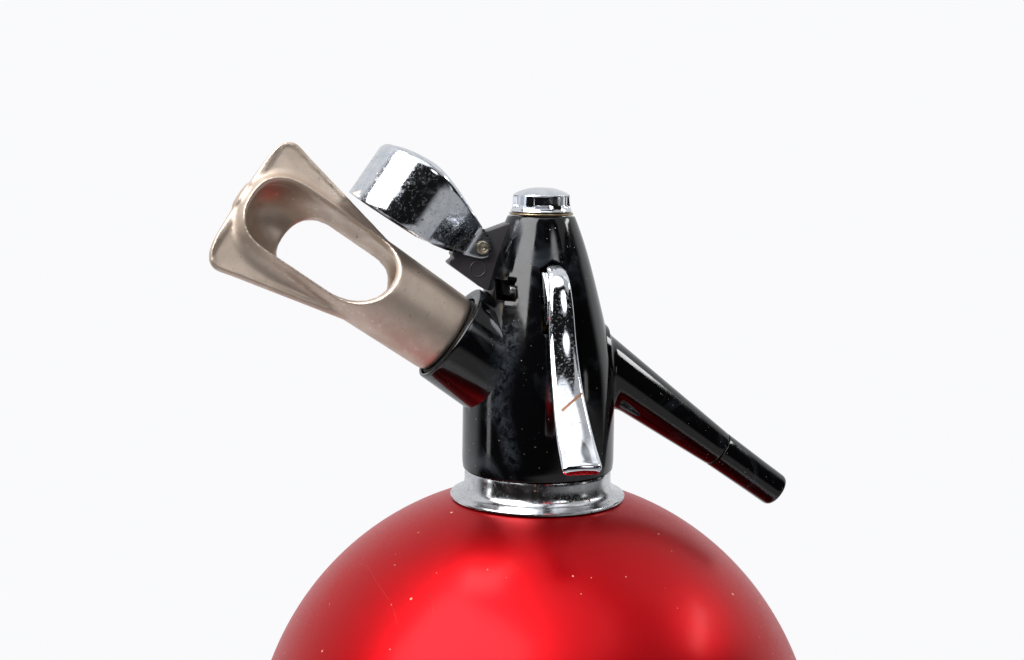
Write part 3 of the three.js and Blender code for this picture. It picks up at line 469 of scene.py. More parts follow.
def black_moulding(name, gloss, dust_share, base, *touched):
    """Black moulded plastic, with dust, smears of handling and a light grime."""
    r = Recipe(name, IOR=1.53)
    smear = r.between(r.noise(70, 5, 0.6, 1.2), 0.50, 0.76)
    streak = r.between(r.noise(500, 6, 0.7, 0.8), 0.35, 0.65)
    for start, end, width in touched:
        smear = r.most(smear, r.times(streak, r.stroke(start, end, width, width * 0.9)))
    fine = r.noise(420, 5, 0.6)
    crowd = r.between(r.noise(55, 3), 0.45, 0.62)
    dust = r.most(r.specks(1.7, 0.1, dust_share * 0.8), r.specks(5.5, 0.26, dust_share * 0.9))
    dust = r.most(dust, r.times(crowd, r.specks(0.9, 0.08, dust_share)))
    colour = r.layered(base, (smear, 0.7, (0.036, 0.043, 0.054)), (dust, 0.75, (0.46, 0.45, 0.40)))
    rough = r.mix(dust, r.plus(r.times(smear, 0.16), r.between(fine, 0.3, 0.7, gloss, gloss + 0.05)), 0.6)
    return r.finish(colour, rough, r.plus(fine, r.times(r.noise(60, 2), 2.0)), 0.005)


def bronze_casting():
    """A champagne-bronze die casting, satin, with a fine-grained skin, small pits and lighter rubbed edges."""
    r = Recipe("bronze_casting", Metallic=0.92, IOR=1.5)
    cloud = r.noise(110, 5, 0.6, 0.4)
    pits = r.most(r.specks(0.8, 0.085, 0.3), r.specks(2.4, 0.17, 0.25))
    stain = r.between(r.noise(420, 5, 0.7), 0.60, 0.72)
    edge = r.between(r.add("NewGeometry").outputs["Pointiness"], 0.53, 0.62)
    colour = r.layered(r.blend(r.between(cloud, 0.3, 0.7), (0.56, 0.455, 0.375), (0.68, 0.57, 0.48)),
                       (edge, 0.5, (0.82, 0.75, 0.66)), (stain, 0.35, (0.26, 0.19, 0.14)),
                       (pits, 0.7, (0.10, 0.075, 0.06)))
    rough = r.mix(pits, r.between(cloud, 0.3, 0.7, 0.51, 0.43), 0.75)
    height = r.plus(r.times(r.noise(2200, 3, 0.6), 0.3), r.times(cloud, 0.5))
    return r.finish(colour, rough, r.maths("SUBTRACT", height, pits), 0.02)


def turned_brass(name, bright, dull):
    """Brass, rubbed bright in places, with a tarnish, a fine grain and dark specks."""
    r = Recipe(name, Metallic=1.0, IOR=1.5)
    tarnish = r.between(r.noise(260, 5, 0.6), 0.35, 0.7)
    grain = r.noise(2600, 4, 0.6)
    colour = r.layered(r.blend(tarnish, bright, dull), (r.specks(1.1, 0.12, 0.4), 0.8, (0.10, 0.06, 0.03)))
    rough = r.plus(r.times(tarnish, 0.18), r.between(grain, 0.3, 0.7, 0.20, 0.30))
    return r.finish(colour, rough, grain, 0.006)


def lined_finish(name, cloud, span, tints, lines, rough, depth, stretch=None, **constants):
    """A plain finish: two tints in clouds, and a fine skin of grain, or of lines where it is stretched."""
    r = Recipe(name, IOR=1.5, **constants)
    skin = r.noise(*lines, at=stretch and r.stretched(stretch))
    colour = r.blend(r.between(r.noise(*cloud), *span), *tints)
    return r.finish(colour, r.between(skin, 0.3, 0.7, *rough), skin, depth)


RED = red_satin()
COLLAR_CHROME = worn_chrome("collar_chrome", 3, 0.3, 0.2, 0.5, 0.7, 0.35)
CAP_CHROME = worn_chrome("cap_chrome", 7, 0.25, 0.16, 0.12, 0.2, 0.05)
LEVER_CHROME = worn_chrome("lever_chrome", 11, 0.15, 0.3, 0.03, 0.75, 0.0,
                           ((-2.0, -32.7, 29.8), (4.2, -29.8, 33.7), 0.33))
COVER_CHROME = worn_chrome("cover_chrome", 19, 0.3, 0.4, 0.03, 0.75, 0.03)
CASING_BLACK = black_moulding("casing_black", 0.06, 0.45, (0.002, 0.002, 0.0025),
                              ((-14.5, -13, 26), (-11.5, -13.5, 46), 5.5), ((-11, -16.8, 14), (-14, -14.6, 30), 3.5))
BRACKET_BLACK = black_moulding("bracket_black", 0.32, 0.2, (0.050, 0.045, 0.050))
BRONZE = bronze_casting()
BRASS = turned_brass("turned_brass", (0.62, 0.44, 0.20), (0.36, 0.23, 0.10))
PIN_BRASS = turned_brass("rubbed_brass", (0.62, 0.56, 0.45), (0.44, 0.38, 0.29))
CAP_BRASS = turned_brass("tarnished_brass", (0.46, 0.36, 0.22), (0.20, 0.13, 0.08))
STEEL = lined_finish("drawn_steel", (240, 5, 0.6), (0.4, 0.7), ((0.56, 0.57, 0.58), (0.34, 0.31, 0.28)),
                     (1, 4), (0.24, 0.38), 0.006, (4200, 300, 4200), Metallic=1.0)
RUBBER = lined_finish("black_rubber_skin", (130, 4), (0.45, 0.75), ((0.016, 0.016, 0.017), (0.045, 0.044, 0.042)),
                      (2400, 3), (0.66, 0.82), 0.02, Specular_IOR_Level=0.35)
MILKY = lined_finish("milky_plastic", (60, 4), (0.35, 0.7), ((0.74, 0.73, 0.69), (0.66, 0.62, 0.52)),
                     (1, 3), (0.34, 0.46), 0.01, (1500, 1500, 40), Subsurface_Weight=0.08)


# ---- Bottle, foot, neck and collar

def seat(radius, gap, side):
    """The height over or under the bottle's centre at which a piece seats on the bottle, with a gap."""
    return BOTTLE_CENTRE + side * sqrt((BOTTLE_RADIUS + gap) ** 2 - radius ** 2)


def bottle():
    lining = BOTTLE_RADIUS - BOTTLE_WALL
    rim, rim_inside = (90 - degrees(asin(share)) for share in (NECK_HOLE_RADIUS / BOTTLE_RADIUS,
                                                               (NECK_HOLE_RADIUS + 0.3) / lining))
    outside = arc(BOTTLE_RADIUS, -90, rim, 96, (0, BOTTLE_CENTRE))
    inside = arc(lining, rim_inside, -90, 56, (0, BOTTLE_CENTRE))
    outside[0], inside[-1] = (0, BOTTLE_CENTRE - BOTTLE_RADIUS), (0, BOTTLE_CENTRE - lining)
    dressed(turned("bottle", outside + inside, 192), RED, "vessel", "red_anodised", "bottle_shell")


def foot():
    outline = filleted([
        [30, GROUND, 0.4], [40.4, GROUND, 1.4], [41, GROUND + 3, 3], [40.2, GROUND + 8.5, 4],
        [43.2, GROUND + 13.2, 0.7], [41.4, GROUND + 12.9, 0.4],
        *([radius, seat(radius, 0.3, -1)] for radius in (39.5, 36, 30)),
    ])
    dressed(turned("foot", outline, 128), CASING_BLACK, "vessel", "black_gloss", "foot_ring")


def rubber_foot():
    """The pad under the bottle, with five ribs and rings of studs between them."""
    low, high = GROUND + 0.5, GROUND + 1.9
    outline = [(0, low)]
    for radius in (9, 13, 17, 21, 25):
        outline += [(radius + out, low + up) for out, up in ((-0.5, 0), (-0.3, 0.35), (0.3, 0.35), (0.5, 0))]
    outline += filleted([[28.9, low, 0.4], [29.5, low + 0.6], [29.6, high, 0.3], [28, high]], closed=False)
    pad = turned("rubber_foot", [*outline, (0, high)], 96)
    studs = [repeated("stud_ring", STUD_RINGS, Count=count, Ring_radius=radius * MM, Stud_radius=1.1 * MM,
                      Height=(low + 0.15 + FLANGE_HEIGHT) * MM, Finish=RUBBER)
             for radius, count in ((11, 14), (15, 18), (19, 24), (23, 30), (27.2, 34))]
    dressed(gathered([pad, *studs]), RUBBER, "vessel", "black_rubber", "foot_pad")


def neck():
    land = seat(NECK_HOLE_RADIUS, 0, 1) + 0.3
    outline = filleted([
        [NECK_BORE_RADIUS, -NECK_DEPTH, 0.5], [15, -NECK_DEPTH, 0.6], [15, land], [NECK_THREAD_RADIUS, land],
        [NECK_THREAD_RADIUS, COLLAR_HEIGHT + 0.6, 0.3], [NECK_ROOT_RADIUS, COLLAR_HEIGHT + 1.2, 0.3],
        [NECK_ROOT_RADIUS, NECK_HEIGHT - 0.4, 0.5], [NECK_ROOT_RADIUS - 0.8, NECK_HEIGHT, 0.3],
        [NECK_BORE_RADIUS + 0.5, NECK_HEIGHT, 0.2], [NECK_BORE_RADIUS, NECK_HEIGHT - 0.6, 0.2],
    ])
    thread = repeated("neck_thread", COIL, Radius=16.35 * MM, Wire_radius=0.62 * MM, Height=7.2 * MM, Turns=3.6,
                      Start=(COLLAR_HEIGHT + 2.2 + FLANGE_HEIGHT) * MM, Steps=96, Sides=4, Finish=BRASS)
    dressed(gathered([turned("neck", outline, 128), thread]), BRASS, "vessel", "brass_part", "neck_bush")


def collar():
    side = through([(COLLAR_FLANGE - 0.5, COLLAR_LIP + 0.05), (22.2, 1.55), (21.1, 2.0), (20.35, 2.65), (19.9, 3.6),
                    (19.7, 5.0), (COLLAR_WAIST, COLLAR_HEIGHT - 0.5)], 6)
    below = [(radius, seat(radius, 0.25, 1)) for radius in (17.3, 20, 22.6)]
    flange = [(COLLAR_FLANGE - 0.15, seat(23.2, 0.25, 1) + 0.02), (COLLAR_FLANGE, seat(23.5, 0.25, 1) + 0.2),
              (COLLAR_FLANGE, COLLAR_LIP - 0.3), (COLLAR_FLANGE - 0.15, COLLAR_LIP - 0.05)]
    top = [(COLLAR_WAIST - 0.12, COLLAR_HEIGHT - 0.13), (COLLAR_WAIST - 0.5, COLLAR_HEIGHT), (17.6, COLLAR_HEIGHT),
           (17.3, COLLAR_HEIGHT - 0.3)]
    dressed(turned("collar", [*below, *flange, *side, *top], 192), COLLAR_CHROME, "vessel", "chrome_plate",
            "collar_ring", crease=30)


# ---- What repeats or follows a path, from trees of nodes

def tree_with(name, floats, numbers):
    """An empty tree with named inputs for sizes, whole numbers and the finish, its sockets in and its end."""
    tree = bpy.data.node_groups.new(name, "GeometryNodeTree")
    kinds = [(label, "Float") for label in floats] + [(label, "Int") for label in numbers]
    for label, kind in [*kinds, ("Finish", "Material")]:
        tree.interface.new_socket(label, in_out="INPUT", socket_type="NodeSocket" + kind)
    tree.interface.new_socket("Geometry", in_out="OUTPUT", socket_type="NodeSocketGeometry")
    return tree, tree.nodes.new("NodeGroupInput").outputs, tree.nodes.new("NodeGroupOutput")


def closing(tree, end, geometry, height, finish):
    """The end of every tree: the geometry moved up, made real and set in its finish."""
    lift = grow(tree, "ShaderNodeCombineXYZ", Z=height).outputs[0]
    geometry = grow(tree, "GeometryNodeTransform", Geometry=geometry, Translation=lift).outputs[0]
    for kind, more in (("RealizeInstances", {}), ("SetShadeSmooth", {}), ("SetMaterial", {"Material": finish})):
        geometry = grow(tree, "GeometryNode" + kind, Geometry=geometry, **more).outputs[0]
    feed(end, geometry)
    return tree


def coil_tree():
    """A wire wound on a cylinder: a spring, or the crest of a thread."""
    tree, given, end = tree_with("coil", ["Radius", "Wire radius", "Height", "Turns", "Start"], ["Steps", "Sides"])
    helix = grow(tree, "GeometryNodeCurveSpiral", Resolution=given["Steps"], Rotations=given["Turns"],
                 Start_Radius=given["Radius"], End_Radius=given["Radius"], Height=given["Height"])
    wire = grow(tree, "GeometryNodeCurvePrimitiveCircle", Resolution=given["Sides"], Radius=given["Wire radius"])
    swept = grow(tree, "GeometryNodeCurveToMesh", Curve=helix.outputs[0], Profile_Curve=wire.outputs[0], Fill_Caps=True)
    return closing(tree, end, swept.outputs[0], given["Start"], given["Finish"])


def stud_tree():
    """Round studs set in a ring."""
    tree, given, end = tree_with("stud_rings", ["Ring radius", "Stud radius", "Height"], ["Count"])
    ring = grow(tree, "GeometryNodeMeshCircle", Vertices=given["Count"], Radius=given["Ring radius"])
    stud = grow(tree, "GeometryNodeMeshUVSphere", Segments=8, Rings=5, Radius=given["Stud radius"])
    flat = grow(tree, "GeometryNodeTransform", Geometry=stud.outputs[0], Scale=(1, 1, 0.5))
    placed = grow(tree, "GeometryNodeInstanceOnPoints", Points=ring.outputs[0], Instance=flat.outputs[0])
    return closing(tree, end, placed.outputs[0], given["Height"], given["Finish"])


COIL = coil_tree()
STUD_RINGS = stud_tree()


def repeated(name, tree, **values):
    """A plain mesh from one of the trees, with the given sizes."""
    piece = linked(name, bpy.data.meshes.new(name))
    grown = piece.modifiers.new("grown", "NODES")
    grown.node_group = tree
    for item in tree.interface.items_tree:
        if item.in_out == "INPUT":
            grown[item.identifier] = values[item.name.replace(" ", "_")]
    return settled(piece)


# ---- Head casing with its bulb socket and the cover's bracket

casing_radius = reading(through(CASING_SIDE, 10))
WINDOW_COLUMNS, SLOT_COLUMNS = range(0, 6), range(14, 22)
WINDOW_ROWS, SLOT_ROWS = range(40, 45), range(33, 48)
HOLE_SIDE = 4
SLANTED_REACH, SLANTED_FADE = 19, 5


def casing_columns(radius):
    """Angles from the lever's side, so that columns run straight along the slot and the window."""
    edges = [(WINDOW_FAR, 14.05, 6), (WINDOW_NEAR, 14.05, 8), (-SLOT_HALF_WIDTH, 9.5, 8), (SLOT_HALF_WIDTH, 9.5, 116)]
    knots = [asin(max(-0.985, x / max(radius, least))) for x, least, _ in edges]
    return [start + (end - start) * k / count
            for start, end, (_, _, count) in zip(knots, [*knots[1:], knots[0] + 2 * pi], edges) for k in range(count)]


def gable_lift(x, height):
    """How far the slot's gable lifts the rows near its shoulder."""
    return max(0, SLOT_GABLE * (1 - abs(x) / SLOT_HALF_WIDTH)) * max(0, 1 - abs(height - SLOT_SHOULDER) / 6.1)


def off_axis(point, height, axis):
    """From the nearest place on a slanting axis to the point."""
    arm = point - Vector((0, 0, height))
    return arm - axis * arm.dot(axis)


def casing_shell():
    """A grid of rows and columns outside and inside, with the slot, the window and two round holes left open."""
    levels = [*np.linspace(GRID_BOTTOM, SLOT_BOTTOM, 34), *np.linspace(47.6, WINDOW_BOTTOM, 7),
              *np.linspace(WINDOW_BOTTOM + 1.04, WINDOW_TOP, 5), *np.linspace(60.7, SLOT_SHOULDER, 3),
              *np.linspace(64.2, GRID_TOP, 7)]
    points = []

    def ring_at(radius, height, lift=True):
        for angle in casing_columns(radius):
            x, y = radius * sin(angle), -radius * cos(angle)
            rise = gable_lift(x, height) if lift and y < 0 else 0
            points.append(Vector((x, y * casing_radius(height + rise) / casing_radius(height), height + rise)))
        return list(range(len(points) - columns, len(points)))

    columns = len(casing_columns(CASING_RADIUS))
    outer = [ring_at(casing_radius(level), level) for level in levels]
    inner = [ring_at(min(casing_radius(level) - CASING_WALL, CASING_BORE), level) for level in levels]

    holes = [(HOLDER_AXIS_HEIGHT, HOLDER_ALONG, SOCKET_HOLE, -1), (SPOUT_AXIS_HEIGHT, SPOUT_ALONG, SPOUT_HOLE, 1)]
    for height, axis, _, side in holes:
        for a, b in zip(sum(outer, []), sum(inner, [])):
            arm = off_axis(points[a], height, axis).length
            if points[a].x * side > HOLE_SIDE and arm < SLANTED_REACH:
                flat = max(points[a].to_2d().normalized().x * side, 0.4)
                slid = points[a] - axis * ((points[a] - points[b]).length / (axis.to_2d().length * flat))
                points[b] = points[b].lerp(slid, min(1, (SLANTED_REACH - arm) / SLANTED_FADE))

    cells = [(row, column) for row in range(len(levels) - 1) for column in range(columns)]
    gone = {(row, column) for row in SLOT_ROWS for column in SLOT_COLUMNS}
    gone |= {(row, column) for row in WINDOW_ROWS for column in WINDOW_COLUMNS}
    bored = {}
    for row, column in cells:
        corners = (points[ring[k % columns]] for ring in outer[row:row + 2] for k in (column, column + 1))
        middle = sum(corners, Vector()) / 4
        for height, axis, hole, side in holes:
            if middle.x * side > HOLE_SIDE and off_axis(middle, height, axis).length < hole:
                bored[(row, column)] = (height, axis, hole)
    gone |= set(bored)

    faces = []
    for row, column in cells:
        n, above = (column + 1) % columns, row + 1
        if (row, column) not in gone:
            faces.append([outer[row][column], outer[row][n], outer[above][n], outer[above][column]])
            faces.append([inner[row][column], inner[above][column], inner[above][n], inner[row][n]])
            continue
        for neighbour, (r1, c1), (r2, c2) in (
                ((row - 1, column), (row, column), (row, n)), ((above, column), (above, n), (above, column)),
                ((row, (column - 1) % columns), (above, column), (row, column)), ((row, n), (row, n), (above, n))):
            if neighbour not in gone:
                faces.append([outer[r1][c1], outer[r2][c2], inner[r2][c2], inner[r1][c1]])
                if (row, column) in bored:
                    height, axis, hole = bored[(row, column)]
                    for number in faces[-1]:
                        arm = off_axis(points[number], height, axis)
                        points[number] += arm * (hole / arm.length - 1)

    skirt = casing_radius(GRID_BOTTOM)
    ends = filleted([[CASING_BORE, CASING_BOTTOM + 0.32], [CASING_BORE, CASING_BOTTOM, 0.3],
                     [skirt, CASING_BOTTOM, 0.4], [skirt, CASING_BOTTOM + 0.32]], closed=False, steps=3)
    crown = filleted([[casing_radius(GRID_TOP), GRID_TOP], [casing_radius(74), 74],
                      [casing_radius(CASING_TOP), CASING_TOP, 0.55], [CAP_HOLE_RADIUS, CASING_TOP, 0.2],
                      [CAP_HOLE_RADIUS, CASING_ROOF], [casing_radius(GRID_TOP) - CASING_WALL, CASING_ROOF]],
                     closed=False, steps=4)
    foot_rings, crown_rings = ([ring_at(*corner, lift=False) for corner in line] for line in (ends[1:-1], crown[1:]))
    faces += skins([inner[0], *foot_rings, outer[0]]) + skins([outer[-1], *crown_rings, inner[-1]])
    return softened(solid_of("casing", points, faces), 0.32, 48, 2)


def saddle_start(place, radius, angle, depth, offset=0.0, high=28.0):
    """Along a slanting axis, where the line at this radius and angle comes within a depth of the casing's skin."""
    local = UPRIGHT.inverted() @ place
    low, step = 6.0, 0.05
    for reach in np.arange(low, high, step):
        x, y, z = local @ Vector((offset + radius * cos(angle), radius * sin(angle), reach))
        if hypot(x, y) > casing_radius(min(max(z, 8.4), CASING_TOP)) - depth:
            return reach
    return high


def socket_barrel():
    """The barrel from the casing's skin out to its lip, its outside a little over the axis of its bore."""
    angles = np.arange(144) * 2 * pi / 144
    outside, inside = (np.array([saddle_start(HOLDER_PLACE, radius, a, 1.3, offset) for a in angles])
                       for radius, offset in ((SOCKET_ROOT_RADIUS, SOCKET_OFFSET), (SOCKET_BORE, 0)))
    slope = (SOCKET_RADIUS - SOCKET_ROOT_RADIUS) / (SOCKET_REACH - 8)
    rings = []
    for share in (0, 0.35, 0.7, 1):
        reaches = outside + (SOCKET_REACH - 1.2 - outside) * share
        rings.append(round_ring(SOCKET_ROOT_RADIUS + slope * (reaches - 8), angles, reaches, SOCKET_OFFSET))
    lip = filleted([[SOCKET_ROOT_RADIUS, 0], [SOCKET_RADIUS, SOCKET_REACH, 0.7], [SOCKET_BORE, SOCKET_REACH, 0.5],
                    [SOCKET_BORE, 0]], closed=False)[1:-1]
    for radius, reach in lip:
        share = (SOCKET_RADIUS - radius) / (SOCKET_RADIUS - SOCKET_BORE)
        rings.append(round_ring(radius, angles, reach, SOCKET_OFFSET * (1 - max(0, min(1, share)))))
    return lofted("barrel", [*rings, round_ring(SOCKET_BORE, angles, inside)], HOLDER_PLACE, closed=True)


def bracket_web():
    """The web that carries the cover's pin, with the round mark of its mould."""
    outline = filleted([
        [10.6, 7.4, 1], [1.9, 4.3, 4], [-2, 3.2, 3], [-4.9, 1, 2.5], [-7.8, -1.8, 0.6], [-7, -2.8, 0.7],
        [-8.7, -4.1, 0.5], [-7.8, -4.9, 0.6], [0.6, -10.9, 3], [8.6, -13.4, 1],
    ])
    web = softened(plate("bracket", [(x - PIN_OUT, z + PIN_HEIGHT) for x, z in outline], 6), 0.5, 60)
    ring = filleted([[1.75, -0.06, 0.1], [2.0, -0.2, 0.1], [2.25, -0.06, 0.1], [2.2, 0.3], [1.8, 0.3]], steps=3)
    return gathered([web, turned("mould_mark", ring, 48, UPRIGHT @ moved(-17.5, -3, 62) @ turned_by(-90, "X"))])


def head_casing():
    body = gathered([casing_shell(), socket_barrel()])
    dressed(body, CASING_BLACK, "head", "black_gloss", "head_casing", crease=40)
    dressed(bracket_web(), BRACKET_BLACK, "head", "black_gloss", "head_casing", crease=40)


# ---- Top cap

def top_cap():
    side = through([(8.0, 0.05), (8.1, 0.2), (7.85, 0.6), (7.62, 1.5), (7.54, 2.8), (7.5, 4.3)], 5)
    dome = through([(7.38, 4.46), (6.6, 4.95), (5.3, 5.5), (3.7, 5.98), (1.9, 6.24), (0.02, 6.3)], 5)
    radius_at, dome_level = reading([(z, r) for r, z in side + dome]), reading([(-r, z) for r, z in dome])
    levels = [0.1, 0.2, 0.35, 0.6, 0.9, 1.2, 1.55, 1.8, 1.95, 2.6, 3.3, 3.9, 4.05, 4.2, 4.32, 4.46, 4.62, 4.8, 5.0, 5.2,
              5.45, 5.7, 5.9, 6.05]
    half = [4.5, 9.5, 14.4, 15.3, 18, 20.5, 21.2, 24, 27]
    pitch = 360 / CAP_NOTCHES
    local = np.tile([-pitch / 2, *(-turn for turn in reversed(half)), 0, *half], CAP_NOTCHES)
    angles = np.radians(np.repeat(pitch * np.arange(CAP_NOTCHES), 2 * len(half) + 2) + local + CAP_NOTCH_TURN)
    rings = []
    for level in levels:
        radius = radius_at(level)
        depth = np.interp(level, CAP_NOTCH_ENDS, [0, 1, 1, 0]) * np.interp(abs(local), CAP_NOTCH_SIDES, [1, 0])
        rings.append(round_ring(radius + (min(radius, CAP_NOTCH_FLOOR) - radius) * depth, angles, CAP_BOTTOM + level))
    for radius in (4.6, 3.4, 2.2, 1.0):
        if dome_level(-radius) > levels[-1]:
            rings.append(round_ring(radius, angles, CAP_BOTTOM + dome_level(-radius)))
    inside = [(1.2, 68.9), (2.7, 69), (2.7, 71.6), (5.5, 71.6), (5.5, CAP_BOTTOM), (7.9, CAP_BOTTOM)]
    cap = lofted("cap", [round_ring(radius, angles, height) for radius, height in inside] + rings)
    dressed(softened(cap, 0.1, 35, 2), CAP_CHROME, "head", "chrome_plate", "top_cap", crease=32)
    ring = filleted([[5.8, 76.0, 0.1], [8.45, 76.0, 0.2], [8.45, 76.55, 0.25], [5.8, 76.55, 0.1]])
    dressed(turned("cap_ring", ring, 128), CAP_BRASS, "head", "brass_part", "cap_washer")


# ---- Spout

def spout():
    angles = np.arange(112) * 2 * pi / 112
    taper = reading([(17.7, SPOUT_ROOT_RADIUS), (SPOUT_JOINT, SPOUT_NECK_RADIUS)])
    skin, deep = (np.array([saddle_start(SPOUT_PLACE, SPOUT_ROOT_RADIUS - 0.05, a, depth, high=34.0) for a in angles])
                  for depth in (0, 1.4))
    rings = [round_ring(SPOUT_BORE, angles, 16.2), round_ring(6, angles, np.minimum(deep, 17)),
             round_ring(taper(deep) + 1.5, angles, deep)]
    for beyond, swell in ((-0.35, 1.35), (0, 0.98), (0.4, 0.62), (0.9, 0.34), (1.5, 0.15), (2.3, 0.04), (3.2, 0)):
        rings.append(round_ring(taper(skin + beyond) + swell, angles, skin + beyond))
    for share in np.linspace(0.06, 1, 22):
        reaches = skin + 3.2 + (SPOUT_JOINT - 0.35 - skin - 3.2) * share
        rings.append(round_ring(taper(reaches), angles, reaches))
    for inset, back in ((0.03, 0.14), (0.14, 0.03), (0.35, 0), (SPOUT_NECK_RADIUS - SPOUT_BORE, 0)):
        rings.append(round_ring(SPOUT_NECK_RADIUS - inset, angles, SPOUT_JOINT - back))
    arm = lofted("spout_arm", rings, SPOUT_PLACE, closed=True)
    dressed(arm, CASING_BLACK, "head", "black_gloss", "spout")
    start = SPOUT_JOINT + 0.26
    end = filleted([
        [SPOUT_BORE, start, 0.1], [SPOUT_NECK_RADIUS, start, 0.2], [SPOUT_NECK_RADIUS - 0.03, start + 2],
        [SPOUT_TIP_RADIUS + 0.1, start + 14, 30], [SPOUT_TIP_RADIUS, SPOUT_END, 1.5], [SPOUT_BORE, SPOUT_END, 0.5],
        [SPOUT_BORE, SPOUT_END - 6],
    ], steps=8)
    dressed(turned("spout_end", end, 96, SPOUT_PLACE), CASING_BLACK, "head", "black_gloss", "spout_tip")


# ---- Pour lever

LEVER_PLACE = UPRIGHT @ turned_by(-90, "Z") @ moved(LEVER_PIN_OUT, 0, LEVER_PIN_HEIGHT)
BLADE_THICKNESS = 2.6


def blade_ring(centre, way, width, thickness, drop, sink=0.0):
    """A section of the blade: a face that falls to both edges by a drop, and a flat back."""
    outward = np.array([-way[1], way[0]]) * (1 if way[1] < 0 else -1)
    half = width / 2
    edge = min(1.0, half * 0.35)
    face = [(half, -thickness * 0.55), (half - edge * 0.03, -drop - 0.42), (half - edge * 0.16, -drop - 0.2),
            (half - edge * 0.4, -drop - 0.04), (half - edge * 0.75, -drop * 0.66), (half - edge * 1.15, -drop * 0.46),
            (half * 0.5, -drop * 0.25), (half * 0.25, -drop * 0.06), (0, 0)]
    back = [(-half + 0.1, -thickness + 0.35), (-half + 0.5, -thickness), (half - 0.5, -thickness),
            (half - 0.1, -thickness + 0.35)]
    section = face + [(-across, depth) for across, depth in reversed(face[:-1])] + back
    return [(centre[0] + outward[0] * (depth - sink), across + 0.3, centre[1] + outward[1] * (depth - sink))
            for across, depth in section]


def blade():
    """The blade along its bent line of [out, up, width], ending in a rounded tip."""
    line = np.array(through([
        (4.2, 7.0, 3.8), (6.4, 6.6, 4.7), (9.6, 4.9, 5.3), (11.8, 2.4, 5.6), (13.1, -0.8, 6.0), (14.1, -4.3, 6.4),
        (15.6, -11.0, 7.0), (18.5, -17.8, 7.5), (21.6, -23.3, 8.0), (25.2, -28.3, 8.7), (29.6, -33.4, 9.4),
        (34.0, -37.2, 9.9), (35.2, -38.2, 10.0)], 5))
    centre, widths = line[:, :2], line[:, 2]
    ways = np.gradient(centre, axis=0)
    ways /= np.linalg.norm(ways, axis=1)[:, None]
    rings = [blade_ring(centre[0] - ways[0] * 0.4, ways[0], widths[0] * 0.7, 1.6, 0.5, 0.5)]
    rings += [blade_ring(*place, BLADE_THICKNESS, 0.08 * place[2]) for place in zip(centre, ways, widths)]
    for turn in np.radians((20, 38, 54, 68, 80, 88)):
        less = 1 - cos(turn)
        rings.append(blade_ring(centre[-1] + ways[-1] * (1.5 * sin(turn)), ways[-1], widths[-1] - 2.2 * less,
                                BLADE_THICKNESS - less, 0.7, 1.1 * less))
    return lofted("lever", rings, LEVER_PLACE)


def fork_arm():
    """The arm behind the pin, its fork open round the valve's stem."""
    stem, gap, half = -LEVER_PIN_OUT, 2.8, 3.1
    outline = [(stem - 0.6, -gap), *arc(gap, -90, 90, 14, (stem, 0)), (stem - 0.6, gap), (stem - 0.6, half), (0, half),
               (0, -half), (stem - 0.6, -half)]
    rings = [[(x, y, height) for x, y in outline] for height in (-3.6, -1.4)]
    return softened(lofted("fork", rings, LEVER_PLACE), 0.12, 50, 2)


def pour_lever():
    lug_outline = filleted([
        [0, 2.9, 1], [2.9, 5.1, 2], [5.7, 5.2, 2], [8.3, 3.0, 2], [11.9, -1.3, 2], [12.5, -5.6, 1.5], [8.9, -8.8, 2],
        [4.9, -6.3, 3], [0, -2.9, 1],
    ])
    lug = softened(plate("lug", lug_outline, 6.2, LEVER_PLACE), 0.45, 50)
    hub_outline = filleted([[1.55, -3.1], [3, -3.1, 0.4], [3, 3.1, 0.4], [1.55, 3.1]])
    hub = turned("hub", hub_outline, 48, LEVER_PLACE @ turned_by(90, "X"))
    lever = gathered([blade(), lug, hub, fork_arm()])
    dressed(lever, LEVER_CHROME, "pour_lever", "chrome_plate", "pour_lever", crease=42)


# ---- Bulb holder

def window_cutter(start, end, half, rounding, near, place, flare=0.0):
    """A block with rounded ends that opens the holder's wall on one side, wider outwards where the rim is bevelled."""
    sections = []
    for level, more in ((0.0, 0.0), (4.3, 0.0), (16.0, flare)):
        wide, low, high, turn = half + more, start - more, end + more, rounding + more
        outline = filleted([[-wide, low, turn], [wide, low, turn], [wide, high, turn], [-wide, high, turn]], steps=12)
        sections.append([(x, near * level, z) for x, z in outline])
    return lofted("window", sections, place)


def tub_radius(reach):
    """The holder's tub: nearly straight, then closed by a full round end."""
    if reach <= TUB_STRAIGHT:
        return np.interp(reach, [0, 25], [11.15, TUB_RADIUS])
    return TUB_RADIUS * max(1e-3, 1 - min(1, (reach - TUB_STRAIGHT) / TUB_END) ** 2.4) ** (1 / 2.4)


